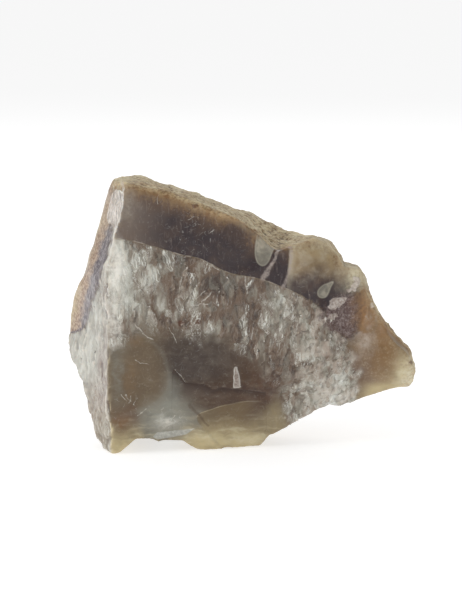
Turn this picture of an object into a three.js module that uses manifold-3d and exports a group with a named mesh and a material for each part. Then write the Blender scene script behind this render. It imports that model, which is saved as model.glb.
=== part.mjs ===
// Rough agate: one piece broken out of a banded nodule.
// It stands on two low points of its lower edge, with the broken face forward and the weathered skin
// of the nodule on top and behind. The whole stone is one solid.
//
// Millimetres. X runs left to right across the broken face, Y from that face to the weathered back,
// and Z up from the surface the stone stands on. The origin is the middle of the footprint's box.

import * as THREE from "three";
import Module from "manifold-3d";
import { mergeVertices } from "three/addons/utils/BufferGeometryUtils.js";
import { ImprovedNoise } from "three/addons/math/ImprovedNoise.js";

const wasm = await Module();
wasm.setup();

// ---------------------------------------------------------------------------------------------
// Driving dimensions

// The stone's outline as seen from the front, [x, z], clockwise from the top-left corner.
const OUTLINE = [
  // top edge, weathered skin, falling to the right
  [-20.8, 48.4], [-17.7, 47.8], [-14.5, 47.0], [-10.9, 46.2], [-7.4, 44.9], [-3.9, 43.2],
  [-0.3, 41.7], [2.2, 40.0], [3.6, 38.6], [5.0, 36.8],
  // shoulder of the upper right lump
  [6.8, 35.9], [9.6, 37.1], [12.9, 38.2], [15.3, 36.9], [16.9, 34.6], [18.2, 32.6], [21.3, 31.7],
  [22.3, 29.7], [22.9, 27.6], [24.2, 25.2], [26.0, 22.2], [27.2, 20.0],
  // nose at the right
  [28.2, 18.6], [30.2, 16.9], [31.4, 14.8], [31.0, 13.0], [29.8, 11.2],
  // lower right edge, rising away from the lip
  [25.8, 10.3], [22.6, 9.2], [20.0, 8.3], [17.9, 7.5], [15.9, 7.8], [14.1, 7.0], [10.7, 5.1],
  [7.7, 3.4], [5.7, 2.2], [4.7, 0.8],
  // lip, the longer of the two low points
  [3.2, -0.9], [0.2, -1.4], [-4.2, -1.2], [-7.0, -0.2], [-9.2, 0.8], [-10.2, 1.8],
  // notch between the two
  [-12.8, 2.2], [-14.8, 1.7], [-16.0, 2.4], [-18.6, 2.5],
  // foot at the lower left
  [-19.8, 1.4], [-21.2, 0.2], [-22.6, -0.7], [-24.2, 0.7], [-25.8, 2.4],
  // left side
  [-26.3, 4.5], [-26.7, 7.6], [-27.5, 9.9], [-28.6, 12.3], [-30.8, 14.2], [-31.1, 17.0],
  [-31.4, 19.8], [-31.1, 22.6], [-30.1, 26.2], [-28.9, 28.7], [-27.4, 31.0], [-26.5, 34.8],
  [-25.6, 38.3], [-24.9, 41.6], [-24.3, 43.8], [-23.5, 46.2], [-22.5, 47.8],
];

const FRONT_Y = -16; // the blank reaches past the broken face, which is then cut
const BACK_Y = 17;
const CORE = { x: -2, z: 23 }; // the axis that the nodule rounds off towards
const OVAL = { x: 30, z: 23 }; // half sizes of the oval that the back of the nodule tends to

// How the outline changes from front to back: its size, and how far it has become the oval.
const SECTIONS = [
  { y: FRONT_Y, size: 0.985, oval: 0.0 },
  { y: -7, size: 0.995, oval: 0.0 },
  { y: 1, size: 1.0, oval: 0.0 },
  { y: 6, size: 0.985, oval: 0.1 },
  { y: 10, size: 0.94, oval: 0.35 },
  { y: BACK_Y, size: 0.84, oval: 0.7 },
];
const SECTION_STEPS = 13;

// The rounded back of the nodule.
const BACK_DOME = { centre: [-1, -7, 23], radii: [45, 23, 38] };

// Flat breaks: a point on each and its outward direction.
const FRONT_BREAKS = [
  { name: "upper front", at: [-20.8, -9.8, 44.0], out: [0.13, -0.985, 0.11] },
  { name: "lower front", at: [-22.5, -11.2, 14.0], out: [0.08, -0.995, -0.06] },
  { name: "right front", at: [14.0, -6.2, 28.0], out: [0.3, -0.92, 0.22] },
  { name: "lower right", at: [14.0, -6.2, 13.0], out: [0.2, -0.88, -0.42] },
];
const LEFT_BREAKS = [
  { name: "middle left", at: [-23.2, -11.6, 22.0], out: [-0.915, -0.4, -0.02] },
  { name: "upper left", at: [-20.9, -9.7, 43.9], out: [-0.89, -0.38, 0.235] },
  { name: "lower left", at: [-23.4, -10.6, 6.5], out: [-0.86, -0.44, -0.24] },
];
const OTHER_BREAKS = [
  { name: "front top edge", at: [-10.0, -8.2, 44.6], out: [0.25, -0.72, 0.66] },
  { name: "back left top", at: [-24.0, 7.5, 38.0], out: [-0.62, 0.7, 0.42] },
  { name: "back right", at: [22.0, 7.0, 21.0], out: [0.55, 0.78, 0.3] },
  { name: "back right below", at: [15.0, 8.5, 9.5], out: [0.4, 0.55, -0.75] },
  { name: "back left below", at: [-26.5, 6.5, 8.0], out: [-0.62, 0.5, -0.55] },
];

// Chips out of the surface, each a shallow shell-shaped bowl: where it is across the side it is on,
// half its width and height, and its depth.
const SCARS = [
  { name: "upper band hollow", side: "front", at: [-6.0, 36.4], half: [13.5, 4.6], depth: 0.8 },
  { name: "right band hollow", side: "front", at: [9.0, 26.0], half: [8.0, 6.5], depth: 0.7 },
  { name: "middle bowl", side: "front", at: [-6.0, 16.0], half: [11.5, 7.0], depth: 1.3 },
  { name: "left bowl", side: "front", at: [-18.3, 14.2], half: [4.6, 8.0], depth: 0.8 },
  { name: "lip shell", side: "front", at: [-0.6, 5.0], half: [6.2, 3.8], depth: 0.9 },
  { name: "notch chip", side: "front", at: [-13.0, 4.6], half: [5.4, 4.2], depth: 1.2 },
  { name: "foot chip", side: "front", at: [-19.8, 4.8], half: [3.1, 3.6], depth: 0.9 },
  { name: "step chip", side: "front", at: [-3.4, 8.2], half: [9.0, 3.4], depth: 0.8 },
  { name: "right hollow", side: "front", at: [18.4, 23.4], half: [5.6, 5.2], depth: 0.9 },
  { name: "nose valley", side: "front", at: [23.4, 17.8], half: [2.4, 6.0], depth: 0.7 },
  { name: "lower right chip", side: "front", at: [9.2, 9.4], half: [6.8, 4.0], depth: 1.1 },
  { name: "left low chip", side: "left", at: [-5.0, 10.0], half: [4.6, 6.0], depth: 0.9 },
  { name: "left high chip", side: "left", at: [-8.6, 41.0], half: [2.6, 4.2], depth: 0.5 },
  { name: "left mid chip", side: "left", at: [0.5, 23.0], half: [5.0, 6.5], depth: 0.8 },
  { name: "back chip", side: "back", at: [8.0, 15.0], half: [8.5, 6.0], depth: 1.6 },
  { name: "back left chip", side: "back", at: [-16.0, 30.0], half: [6.5, 8.0], depth: 1.5 },
];

// Rounded swellings of the nodule, given in the same way.
const LUMPS = [
  { name: "upper right lump", side: "front", at: [11.6, 33.0], half: [6.6, 4.6], depth: 1.3 },
  { name: "nose", side: "front", at: [26.4, 14.8], half: [5.2, 3.8], depth: 1.3 },
  { name: "back top lump", side: "back", at: [-6.0, 36.0], half: [9.0, 6.5], depth: 1.6 },
  { name: "back middle lump", side: "back", at: [2.0, 24.5], half: [9.5, 8.0], depth: 1.5 },
  { name: "back low lump", side: "back", at: [-12.0, 12.0], half: [10.0, 6.2], depth: 1.4 },
];

// The low part of the back, which reaches down to the surface the stone stands on.
const HEEL = { centre: [-2.5, 3.2, 6.4], radii: [7.5, 6.6, 7.0] };

// Seen from the front, the top falls to the right along z = TOP.height - TOP.fall * x.
const TOP = { height: 41.4, fall: 0.36 };
// The splintery quartz sets in and gives way over these depths below the top.
const QUARTZ = { starts: [10, 12], ends: [22, 27] };
// Where the weathered skin begins: depths below the top, x + lean * z at the right, and y.
const SKIN = { top: [0.5, 3], right: [31.5, 34], lean: 0.4, forward: [-8, -4], back: [3, 8] };

// How uneven the surface is: at each wavelength, how far it shifts everywhere, and how much further
// on the skin and in the quartz.
const UNEVENNESS = [
  { wavelength: 12, everywhere: 0.4, skin: 0.9, quartz: 0, seed: 3 },
  { wavelength: 4.4, everywhere: 0.2, skin: 0.5, quartz: 0.25, seed: 41 },
  { wavelength: 2.6, everywhere: 0.08, skin: 0.3, quartz: 0.25, seed: 77 },
];

const CHIP_THICKNESS = 6; // a chip's ellipsoid is this many times as thick as the chip is deep
const LUMP_THICKNESS = 2.6; // and a lump's, as what shows of it
const CAP_SEGMENTS = 30;
const DOME_SEGMENTS = 40;
const CUTTER = 90; // half the size of the block that cuts a flat break

const EDGE = 1.5; // the length that the surface's triangles are evened out to
const ROUNDS = 5; // how many times that is gone over
const TURNS = 4; // and how often edges are turned each time
const LONG = 4 / 3; // edges over this many times that length are split,
const SHORT = 0.75; // those under this many times are merged,
const TINY = 0.3; // and those under this even where creases meet
const CREASE = cosine(24); // faces that meet at more than this have a crease
const LEVEL = cosine(9); // faces that meet at less than this are level
const LEAST_TURN = cosine(35); // the most a face may turn as a point moves

function cosine(degrees) {
  return Math.cos(THREE.MathUtils.degToRad(degrees));
}

// ---------------------------------------------------------------------------------------------
// Making and joining solids

const noise = new ImprovedNoise();
const { lerp, smoothstep } = THREE.MathUtils;

function solidOf(geometry) {
  const bare = geometry.clone();
  bare.deleteAttribute("normal");
  bare.deleteAttribute("uv");
  const merged = mergeVertices(bare, 1e-4);
  return new wasm.Manifold(
    new wasm.Mesh({
      numProp: 3,
      vertProperties: new Float32Array(merged.attributes.position.array),
      triVerts: new Uint32Array(merged.index.array),
    }),
  );
}

function trianglesOf(solid) {
  const mesh = solid.getMesh();
  const points = [];
  for (let i = 0; i < mesh.numVert; i++) {
    const at = i * mesh.numProp;
    points.push(new THREE.Vector3(...mesh.vertProperties.subarray(at, at + 3)));
  }
  const faces = [];
  for (let i = 0; i < mesh.triVerts.length; i += 3) faces.push([...mesh.triVerts.subarray(i, i + 3)]);
  return { points, faces };
}

function geometryOf({ points, faces }) {
  return new THREE.BufferGeometry().setFromPoints(points).setIndex(faces.flat());
}

function turnTo(out) {
  return new THREE.Quaternion().setFromUnitVectors(new THREE.Vector3(0, 0, 1), out);
}

function ellipsoid({ centre, radii }) {
  const made = new THREE.SphereGeometry(1, DOME_SEGMENTS, DOME_SEGMENTS / 2);
  made.scale(...radii).translate(...centre);
  return solidOf(made);
}

// A block whose inner face passes through a point, for cutting away all that lies outside it.
function beyond({ at, out }) {
  const size = 2 * CUTTER;
  const block = new THREE.BoxGeometry(size, size, size).translate(0, 0, size / 2);
  block.applyQuaternion(turnTo(new THREE.Vector3(...out).normalize())).translate(...at);
  return solidOf(block);
}

// ---------------------------------------------------------------------------------------------
// The blank: the outline run from front to back, rounding off towards the nodule's oval

function sectionAt(y) {
  const next = Math.max(1, SECTIONS.findIndex((s) => s.y >= y - 1e-6));
  const [a, b] = [SECTIONS[next - 1], SECTIONS[next]];
  const t = smoothstep(y, a.y, b.y);
  return { size: lerp(a.size, b.size, t), oval: lerp(a.oval, b.oval, t) };
}

function blank() {
  const outline = new THREE.Shape(OUTLINE.map(([x, z]) => new THREE.Vector2(x, z)));
  const depth = BACK_Y - FRONT_Y;
  const made = new THREE.ExtrudeGeometry(outline, {
    depth,
    steps: SECTION_STEPS,
    bevelEnabled: false,
  });
  // The extrusion runs along +Z: turned so that it runs from the back to the front.
  made.rotateX(Math.PI / 2).translate(0, BACK_Y, 0);
  const place = made.attributes.position;
  for (let i = 0; i < place.count; i++) {
    const { size, oval } = sectionAt(place.getY(i));
    const x = place.getX(i) - CORE.x;
    const z = place.getZ(i) - CORE.z;
    const angle = Math.atan2(z / OVAL.z, x / OVAL.x);
    place.setX(i, CORE.x + size * lerp(x, OVAL.x * Math.cos(angle), oval));
    place.setZ(i, CORE.z + size * lerp(z, OVAL.z * Math.sin(angle), oval));
  }
  return solidOf(made);
}

// ---------------------------------------------------------------------------------------------
// Chips and lumps

// Where a line along one axis meets a flat break.
function meets({ at, out }, axis, others) {
  const rest = [0, 1, 2].filter((k) => k !== axis);
  const slope = rest.reduce((sum, k, i) => sum + out[k] * (others[i] - at[k]), 0);
  return at[axis] - slope / out[axis];
}

// The point and outward direction of the stone's surface at a place on one of its sides: [x, z] on
// the front and the back, and [y, z] on the left.
function surfaceAt(side, [u, v]) {
  if (side === "back") {
    const { centre, radii } = BACK_DOME;
    const [a, c] = [(u - centre[0]) / radii[0], (v - centre[2]) / radii[2]];
    const b = Math.sqrt(1 - a * a - c * c);
    const out = new THREE.Vector3(a / radii[0], b / radii[1], c / radii[2]).normalize();
    return { point: new THREE.Vector3(u, centre[1] + b * radii[1], v), out };
  }
  const [axis, breaks] = side === "front" ? [1, FRONT_BREAKS] : [0, LEFT_BREAKS];
  const hits = breaks.map((face) => ({ face, depth: meets(face, axis, [u, v]) }));
  const { face, depth } = hits.sort((p, q) => q.depth - p.depth)[0];
  const point = side === "front" ? [u, depth, v] : [depth, u, v];
  return { point: new THREE.Vector3(...point), out: new THREE.Vector3(...face.out).normalize() };
}

// The ellipsoid that shows as a chip or a lump: as wide and high as stated where it meets the
// surface, and reaching inwards (a chip) or outwards (a lump) by its depth.
function cap({ side, at, half, depth }, thickness, reach) {
  const thick = thickness * depth;
  const share = Math.sqrt(1 - ((thick - depth) / thick) ** 2);
  const { point, out } = surfaceAt(side, at);
  const made = new THREE.SphereGeometry(1, CAP_SEGMENTS, (CAP_SEGMENTS * 2) / 3).rotateX(Math.PI / 2);
  const across = side === "left" ? [half[1], half[0]] : half;
  made.scale(across[0] / share, across[1] / share, thick);
  made.applyQuaternion(turnTo(out));
  made.translate(...point.addScaledVector(out, reach * (thick - depth)));
  return solidOf(made);
}

// ---------------------------------------------------------------------------------------------
// The surface

// Splits every edge over the longest length at its middle, again and again, keeping the mesh closed.
function splitLong({ points, faces }, longest) {
  let current = faces;
  for (let split = true; split; ) {
    split = false;
    const middles = new Map();
    const middle = (a, b) => {
      if (points[a].distanceTo(points[b]) <= longest) return -1;
      const key = edgeKey(a, b);
      if (!middles.has(key)) {
        points.push(points[a].clone().lerp(points[b], 0.5));
        middles.set(key, points.length - 1);
      }
      split = true;
      return middles.get(key);
    };
    current = current.flatMap((corners) =>
      splitFace(points, corners, corners.map((c, k) => middle(c, corners[(k + 1) % 3]))),
    );
  }
  return { points, faces: current };
}

// The faces that replace one whose edges are split at mids (-1 where an edge is whole).
function splitFace(points, corners, mids) {
  const count = mids.filter((m) => m >= 0).length;
  if (count === 0) return [corners];
  // Turn the face so that its one whole edge, or its one split edge, comes first.
  const first = Math.max(0, mids.findIndex((m) => (count === 1 ? m >= 0 : m < 0)));
  const [a, b, c] = [0, 1, 2].map((k) => corners[(first + k) % 3]);
  const [ab, bc, ca] = [0, 1, 2].map((k) => mids[(first + k) % 3]);
  if (count === 3) return [[a, ab, ca], [ab, b, bc], [ca, bc, c], [ab, bc, ca]];
  if (count === 1) return [[a, ab, c], [ab, b, c]];
  const near = points[a].distanceTo(points[bc]) < points[b].distanceTo(points[ca]);
  return near ? [[a, b, bc], [a, bc, ca], [ca, bc, c]] : [[a, b, ca], [b, bc, ca], [ca, bc, c]];
}

const edgeKey = (a, b) => (a < b ? a * 1e6 + b : b * 1e6 + a);

function normalOf(points, [a, b, c]) {
  const side = points[b].clone().sub(points[a]);
  return side.cross(points[c].clone().sub(points[a])).normalize();
}

// What the mesh passes below ask about it: each edge's faces, the faces at each point, which edges
// are creases, and each point's rank: 0 on a smooth surface, 1 along a crease, 2 at a corner.
function study({ points, faces }) {
  const normals = faces.map((face) => normalOf(points, face));
  const edges = new Map();
  const around = points.map(() => []);
  faces.forEach((face, f) =>
    face.forEach((a, k) => {
      const b = face[(k + 1) % 3];
      around[a].push(f);
      const key = edgeKey(a, b);
      if (edges.has(key)) edges.get(key).faces.push(f);
      else edges.set(key, { a, b, faces: [f] });
    }),
  );
  const creases = points.map(() => 0);
  for (const edge of edges.values()) {
    edge.crease = normals[edge.faces[0]].dot(normals[edge.faces[1]]) < CREASE;
    if (edge.crease) {
      creases[edge.a]++;
      creases[edge.b]++;
    }
  }
  const rank = creases.map((n) => (n === 0 ? 0 : n === 2 ? 1 : 2));
  return { normals, edges, around, rank };
}

// Pulls one end of each short edge onto the other, if the mesh stays closed, the creases stay in
// place and no face turns over. A tiny edge is merged even where creases meet.
function mergeShort({ points, faces }, shortest, tiny) {
  const { normals, edges, around, rank } = study({ points, faces });
  const moved = new Map();
  const busy = new Set();
  const length = ({ a, b }) => points[a].distanceTo(points[b]);
  const short = [...edges.values()].filter((e) => length(e) < shortest);
  for (const edge of short.sort((e, f) => length(e) - length(f))) {
    const ends = rank[edge.a] <= rank[edge.b] ? [edge.a, edge.b] : [edge.b, edge.a];
    const [gone, kept] = ends;
    const holds = rank[gone] === 2 || (rank[gone] === 1 && !edge.crease);
    if (holds && length(edge) > tiny) continue;
    const ring = (p) => new Set(around[p].flatMap((f) => faces[f]));
    const [near, far] = [ring(gone), ring(kept)];
    if ([...near, ...far].some((p) => busy.has(p))) continue;
    if ([...near].filter((p) => far.has(p)).length !== 4) continue;
    const turned = around[gone].some((f) => {
      if (faces[f].includes(kept)) return false;
      const next = normalOf(points, faces[f].map((p) => (p === gone ? kept : p)));
      return next.dot(normals[f]) < LEAST_TURN;
    });
    if (turned) continue;
    moved.set(gone, kept);
    [...near, ...far].forEach((p) => busy.add(p));
  }
  const next = faces.map((face) => face.map((p) => moved.get(p) ?? p));
  return { points, faces: next.filter(([a, b, c]) => a !== b && b !== c && c !== a), merged: moved.size };
}

function leastAngle(points, face) {
  const angles = face.map((p, k) => {
    const [u, v] = [1, 2].map((n) => points[face[(k + n) % 3]].clone().sub(points[p]));
    return u.angleTo(v);
  });
  return Math.min(...angles);
}

// Turns the shared edge of two nearly level faces where that makes their sharpest angle wider.
function turnEdges({ points, faces }) {
  const { normals, edges } = study({ points, faces });
  const next = faces.slice();
  const busy = new Set();
  for (const edge of edges.values()) {
    const [f, g] = edge.faces;
    if (normals[f].dot(normals[g]) < LEVEL) continue;
    const at = faces[f].indexOf(edge.a);
    const [a, b] = faces[f][(at + 1) % 3] === edge.b ? [edge.a, edge.b] : [edge.b, edge.a];
    const c = faces[f].find((p) => p !== a && p !== b);
    const d = faces[g].find((p) => p !== a && p !== b);
    if ([a, b, c, d].some((p) => busy.has(p)) || edges.has(edgeKey(c, d))) continue;
    const made = [[c, a, d], [d, b, c]];
    const worst = (pair) => Math.min(...pair.map((face) => leastAngle(points, face)));
    if (made.some((face) => normalOf(points, face).dot(normals[f]) < LEVEL)) continue;
    if (worst(made) <= worst([faces[f], faces[g]])) continue;
    [next[f], next[g]] = made;
    [a, b, c, d].forEach((p) => busy.add(p));
  }
  return { points, faces: next };
}

// Slides each point that is on no crease towards the middle of its neighbours, within its surface.
function relax({ points, faces }) {
  const { normals, around, rank } = study({ points, faces });
  const moved = points.map((point, p) => {
    if (rank[p] > 0 || around[p].length === 0) return point;
    const ring = [...new Set(around[p].flatMap((f) => faces[f]))].filter((q) => q !== p);
    const middle = new THREE.Vector3();
    ring.forEach((q) => middle.addScaledVector(points[q], 1 / ring.length));
    const out = new THREE.Vector3();
    around[p].forEach((f) => out.add(normals[f]));
    const shift = middle.sub(point).projectOnPlane(out.normalize());
    return point.clone().addScaledVector(shift, 0.5);
  });
  return { points: moved, faces };
}

// Drops the points that no face uses.
function compact({ points, faces }) {
  const used = [...new Set(faces.flat())];
  const place = new Map(used.map((p, i) => [p, i]));
  return { points: used.map((p) => points[p]), faces: faces.map((f) => f.map((p) => place.get(p))) };
}

// Gives the mesh edges of about one length everywhere, with its creases kept sharp.
function evenOut(surface, length) {
  let even = surface;
  for (let round = 0; round < ROUNDS; round++) {
    even = splitLong(even, length * LONG);
    for (let merged = 1; merged > 0; ) {
      even = mergeShort(even, length * SHORT, length * TINY);
      merged = even.merged;
    }
    for (let turn = 0; turn < TURNS; turn++) even = turnEdges(even);
    even = relax(even);
  }
  return compact(even);
}

// A smooth shift in all three directions, so that flat breaks undulate and edges wander.
function wander(p, wavelength, amount, seed) {
  const [x, y, z] = [p.x / wavelength, p.y / wavelength, p.z / wavelength];
  return new THREE.Vector3(
    noise.noise(x + seed, y, z),
    noise.noise(x, y + seed + 11, z),
    noise.noise(x, y, z + seed + 23),
  ).multiplyScalar(amount);
}

// How far below the stone's top a point lies.
function belowTop({ x, z }) {
  return TOP.height - TOP.fall * x - z;
}

// 1 on the weathered skin, at the back, along the top and down the upper right side, and 0 on the
// broken faces.
function skin(p) {
  const above = 1 - smoothstep(belowTop(p), ...SKIN.top);
  const right = smoothstep(p.x + SKIN.lean * p.z, ...SKIN.right);
  const forward = Math.max(above, right) * smoothstep(p.y, ...SKIN.forward);
  return Math.max(smoothstep(p.y, ...SKIN.back), forward);
}

// 1 in the band of splintery quartz that crosses the broken face, and 0 on the waxy chalcedony.
function quartz(p) {
  const below = belowTop(p);
  return smoothstep(below, ...QUARTZ.starts) * (1 - smoothstep(below, ...QUARTZ.ends));
}

function weather(points) {
  for (const p of points) {
    const [rough, splintery] = [skin(p), quartz(p)];
    for (const part of UNEVENNESS) {
      const amount = part.everywhere + part.skin * rough + part.quartz * splintery;
      p.add(wander(p, part.wavelength, amount, part.seed));
    }
  }
}

// ---------------------------------------------------------------------------------------------
// Assembly

function agate() {
  const whole = blank();
  let stone = whole.intersect(ellipsoid(BACK_DOME)).add(ellipsoid(HEEL));
  for (const face of [...FRONT_BREAKS, ...LEFT_BREAKS, ...OTHER_BREAKS]) {
    stone = stone.subtract(beyond(face));
  }
  for (const lump of LUMPS) stone = stone.add(cap(lump, LUMP_THICKNESS, -1).intersect(whole));
  for (const scar of SCARS) stone = stone.subtract(cap(scar, CHIP_THICKNESS, 1));
  const surface = evenOut(trianglesOf(stone), EDGE);
  weather(surface.points);
  const ground = { at: [0, 0, 0], out: [0, 0, -1] };
  const made = geometryOf(trianglesOf(solidOf(geometryOf(surface)).subtract(beyond(ground))));
  made.computeBoundingBox();
  const { min, max } = made.boundingBox;
  return made.translate(-(min.x + max.x) / 2, -(min.y + max.y) / 2, 0);
}

const chalcedony = new THREE.MeshStandardMaterial({ color: 0x8c8178, roughness: 0.45, metalness: 0 });
const stone = new THREE.Mesh(agate(), chalcedony);
stone.name = "agate";

const group = new THREE.Group();
group.add(stone);
export default group;
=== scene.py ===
"""Looks of the rough agate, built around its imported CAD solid.

The stone is one piece of a banded nodule. Its broken face shows, from the weathered skin downwards,
a dark chalcedony band, a zone of splintery quartz and a waxy grey-brown chalcedony. The fine surface
is a remeshed copy of the CAD solid, moved along its normals by noise and by named breaks, and its
colour comes from shader nodes that read what the mesh stores at each point.

Lengths in this file are in millimetres on the stone and are turned to metres where Blender needs
them. (u, v) is a place on the broken face as it is looked at: u is X, and v is the height Z with the
slant of the view taken out, so that v = z + LOOK_SLOPE * y.
"""

import functools
import itertools
import math

import bmesh
import bpy
import numpy as np
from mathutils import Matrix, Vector
from mathutils.bvhtree import BVHTree
from mathutils.kdtree import KDTree


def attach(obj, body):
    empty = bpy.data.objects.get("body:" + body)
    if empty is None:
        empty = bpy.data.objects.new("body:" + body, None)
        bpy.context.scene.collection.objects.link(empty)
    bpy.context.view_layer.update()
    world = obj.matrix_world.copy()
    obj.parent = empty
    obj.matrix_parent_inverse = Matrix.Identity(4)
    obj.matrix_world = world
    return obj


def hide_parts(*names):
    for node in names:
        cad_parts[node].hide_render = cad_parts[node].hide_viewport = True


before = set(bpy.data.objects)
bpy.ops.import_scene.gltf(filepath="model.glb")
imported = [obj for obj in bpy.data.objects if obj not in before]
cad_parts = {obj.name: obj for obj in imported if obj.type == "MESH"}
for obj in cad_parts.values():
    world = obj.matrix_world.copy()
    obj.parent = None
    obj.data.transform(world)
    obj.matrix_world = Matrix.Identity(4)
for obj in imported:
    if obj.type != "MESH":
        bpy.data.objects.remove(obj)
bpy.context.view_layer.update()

MM = 0.001

# ----------------------------------------
# The view

LOOK_DOWN = 8.0  # degrees
LOOK_SLOPE = math.tan(math.radians(LOOK_DOWN))
LOOK_BACK = (0.0, -math.cos(math.radians(LOOK_DOWN)), math.sin(math.radians(LOOK_DOWN)))
CAMERA_DISTANCE = 450.0
CAMERA_TARGET = (-1.9, 0.0, 25.9)
CAMERA_LENS, CAMERA_SENSOR = 150.0, 36.0  # 108 mm of height fills the picture

# ----------------------------------------
# Where things are on the stone, as (u, v) in millimetres

# Lower edge of the dark band, left to right. It is scalloped, and it turns up at the purple patch.
BAND_EDGE = [
    (-25.0, 37.0), (-19.7, 36.5), (-14.1, 35.0), (-9.8, 33.6), (-8.1, 33.6), (-4.9, 32.0), (-2.4, 30.7),
    (3.6, 29.6), (8.5, 27.7), (13.5, 25.0), (15.6, 22.6), (17.4, 19.8), (19.2, 18.6), (21.2, 21.0),
    (23.0, 27.0),
]
# Lower edge of the splintery quartz, where the waxy chalcedony begins.
QUARTZ_EDGE = [
    (-22.9, 18.2), (-20.5, 19.4), (-15.2, 21.4), (-10.0, 20.4), (-3.0, 19.0), (3.6, 15.6), (6.8, 10.7),
    (9.0, 0.0),
]

# The same layers on the left face, top to bottom: the inner edge of the rind, and of the dark band.
RIND_SIDE = [(-22.9, 43.8), (-23.1, 39.6), (-24.6, 36.4), (-27.3, 28.2), (-28.4, 24.3), (-29.8, 18.6)]
BAND_SIDE = [(-22.9, 43.8), (-22.7, 37.3), (-23.8, 33.0), (-25.6, 27.7), (-27.3, 22.9), (-29.3, 18.4)]
# A glossy pale chip high on the left face, and the fine cracks in it.
GLOSS = [(-22.9, 45.2), (-21.5, 45.5), (-20.2, 43.8), (-20.2, 40.6), (-21.8, 37.8), (-22.9, 39.1),
         (-24.2, 40.2), (-23.6, 43.0)]
GLOSS_BACK = -5.0  # the chip ends before this Y

# Where the rind is thin or broken away, by the notch: middle, reach across and up, most.
NO_RIND = [((6.0, 33.2), (2.4, 2.4), 3.0), ((0.4, 38.4), (4.0, 1.8), 1.8)]
# The tan lump right of the notch, and the nose.
LUMP = [(7.8, 39.0), (8.4, 35.0), (7.8, 28.4), (8.4, 24.0), (24.0, 24.0), (24.0, 34.0), (14.0, 39.5)]
NOSE = [(20.0, 22.0), (19.0, 18.0), (20.8, 13.0), (20.2, 7.0), (34.0, 7.0), (34.0, 22.0)]

# Grey-green chalcedony that lies over the dark band in crisp lobes, and a drop of it.
LOBES = [
    [(3.0, 38.6), (2.4, 36.0), (2.3, 34.0), (2.7, 32.4), (3.8, 31.8), (4.8, 32.8), (5.3, 34.4),
     (6.2, 36.0), (7.6, 36.8), (7.4, 38.6)],
    [(13.2, 27.4), (13.6, 26.3), (14.9, 26.3), (15.4, 27.4), (15.7, 28.2), (16.4, 29.4),
     (15.1, 28.8), (14.2, 28.5)],
]
# Pale flakes still stuck to the face.
FLAKES = [
    [(15.2, 24.1), (15.7, 25.9), (16.8, 26.3), (18.6, 26.4), (18.0, 25.2), (16.6, 24.3)],
    [(15.0, 22.7), (15.7, 23.4), (17.0, 23.6), (16.8, 22.9), (15.7, 22.2)],
    [(18.0, 27.5), (19.8, 28.6), (19.5, 29.5), (20.3, 30.0), (21.2, 29.6), (20.2, 27.7), (19.1, 27.5)],
    [(-1.5, 10.2), (-1.4, 13.9), (-0.8, 14.1), (-0.1, 10.4)],
]
PURPLE_PATCH = [(13.8, 23.4), (16.8, 26.4), (19.4, 27.2), (20.4, 24.0), (20.2, 20.4), (19.0, 19.0),
                (16.6, 20.0), (14.6, 21.0)]

# The olive part of the waxy chalcedony, and the worn facet at the bottom left.
OLIVE_LOBE = [(-25.0, 17.0), (-21.0, 20.0), (-18.0, 20.4), (-15.0, 18.0), (-13.0, 14.5), (-12.6, 10.5),
              (-15.0, 7.0), (-19.0, 6.0), (-25.0, 4.0)]
FACET = [(-15.8, 1.4), (-15.0, 2.2), (-8.3, 2.9), (-9.8, 1.8), (-12.3, 1.3), (-15.0, 0.9)]
# The shell-shaped hollow at the bottom, the step above it, and the arc at the left.
LIP = [(-8.6, 5.2), (-4.7, 6.5), (-1.7, 7.3), (3.0, 7.8), (5.6, 7.0), (6.4, 3.5), (4.0, -2.0), (-3.0, -2.0),
       (-6.6, 2.4)]
STEP = [(-11.6, 13.6), (-10.7, 12.3), (-9.8, 11.3), (-6.5, 10.9), (-5.1, 10.0), (-3.5, 10.4), (1.8, 9.7),
        (3.6, 9.5)]
ARC = [(-22.2, 17.0), (-20.6, 19.3), (-19.2, 20.0), (-17.6, 20.0), (-15.0, 17.7)]

# Fine light lines: from, to, half width.
HAIRLINES = [
    ((-18.6, 15.2), (-16.4, 14.5), 0.07), ((-18.6, 21.6), (-17.4, 20.2), 0.12),
    ((-17.4, 20.0), (-15.5, 18.8), 0.10), ((-12.7, 21.1), (-11.4, 18.4), 0.08),
    ((-11.7, 13.6), (-10.0, 11.4), 0.08), ((-18.3, 5.4), (-16.8, 6.6), 0.09),
    ((-21.1, 9.1), (-20.2, 8.0), 0.09), ((-20.4, 8.9), (-19.6, 7.9), 0.12),
    ((-19.9, 7.6), (-19.4, 8.8), 0.08), ((-13.2, 3.8), (-11.8, 5.2), 0.10),
    ((-14.5, 2.0), (-8.3, 2.8), 0.10), ((-5.8, 37.6), (-5.0, 38.2), 0.07),
    ((-9.3, 40.0), (-8.3, 40.5), 0.07), ((-14.7, 44.5), (-14.6, 42.8), 0.08),
    ((-18.5, 33.8), (-18.3, 31.8), 0.14), ((-10.4, 30.0), (-10.9, 27.6), 0.14),
    ((-5.3, 32.1), (-3.8, 31.1), 0.16), ((0.6, 30.0), (0.9, 27.1), 0.2),
    ((-7.0, 25.4), (-5.3, 27.4), 0.14), ((-8.8, 27.6), (-9.6, 25.0), 0.16),
    ((-8.0, 26.0), (-6.4, 27.4), 0.12), ((-8.4, 25.0), (-6.0, 25.2), 0.12),
    ((3.4, 23.6), (3.6, 21.4), 0.16),
]
# Dark creases in the waxy chalcedony: from, to, half width.
CREASES = [((-9.2, 7.2), (-7.6, 5.4), 0.35), ((-7.6, 5.4), (-6.0, 3.4), 0.25)]
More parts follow.
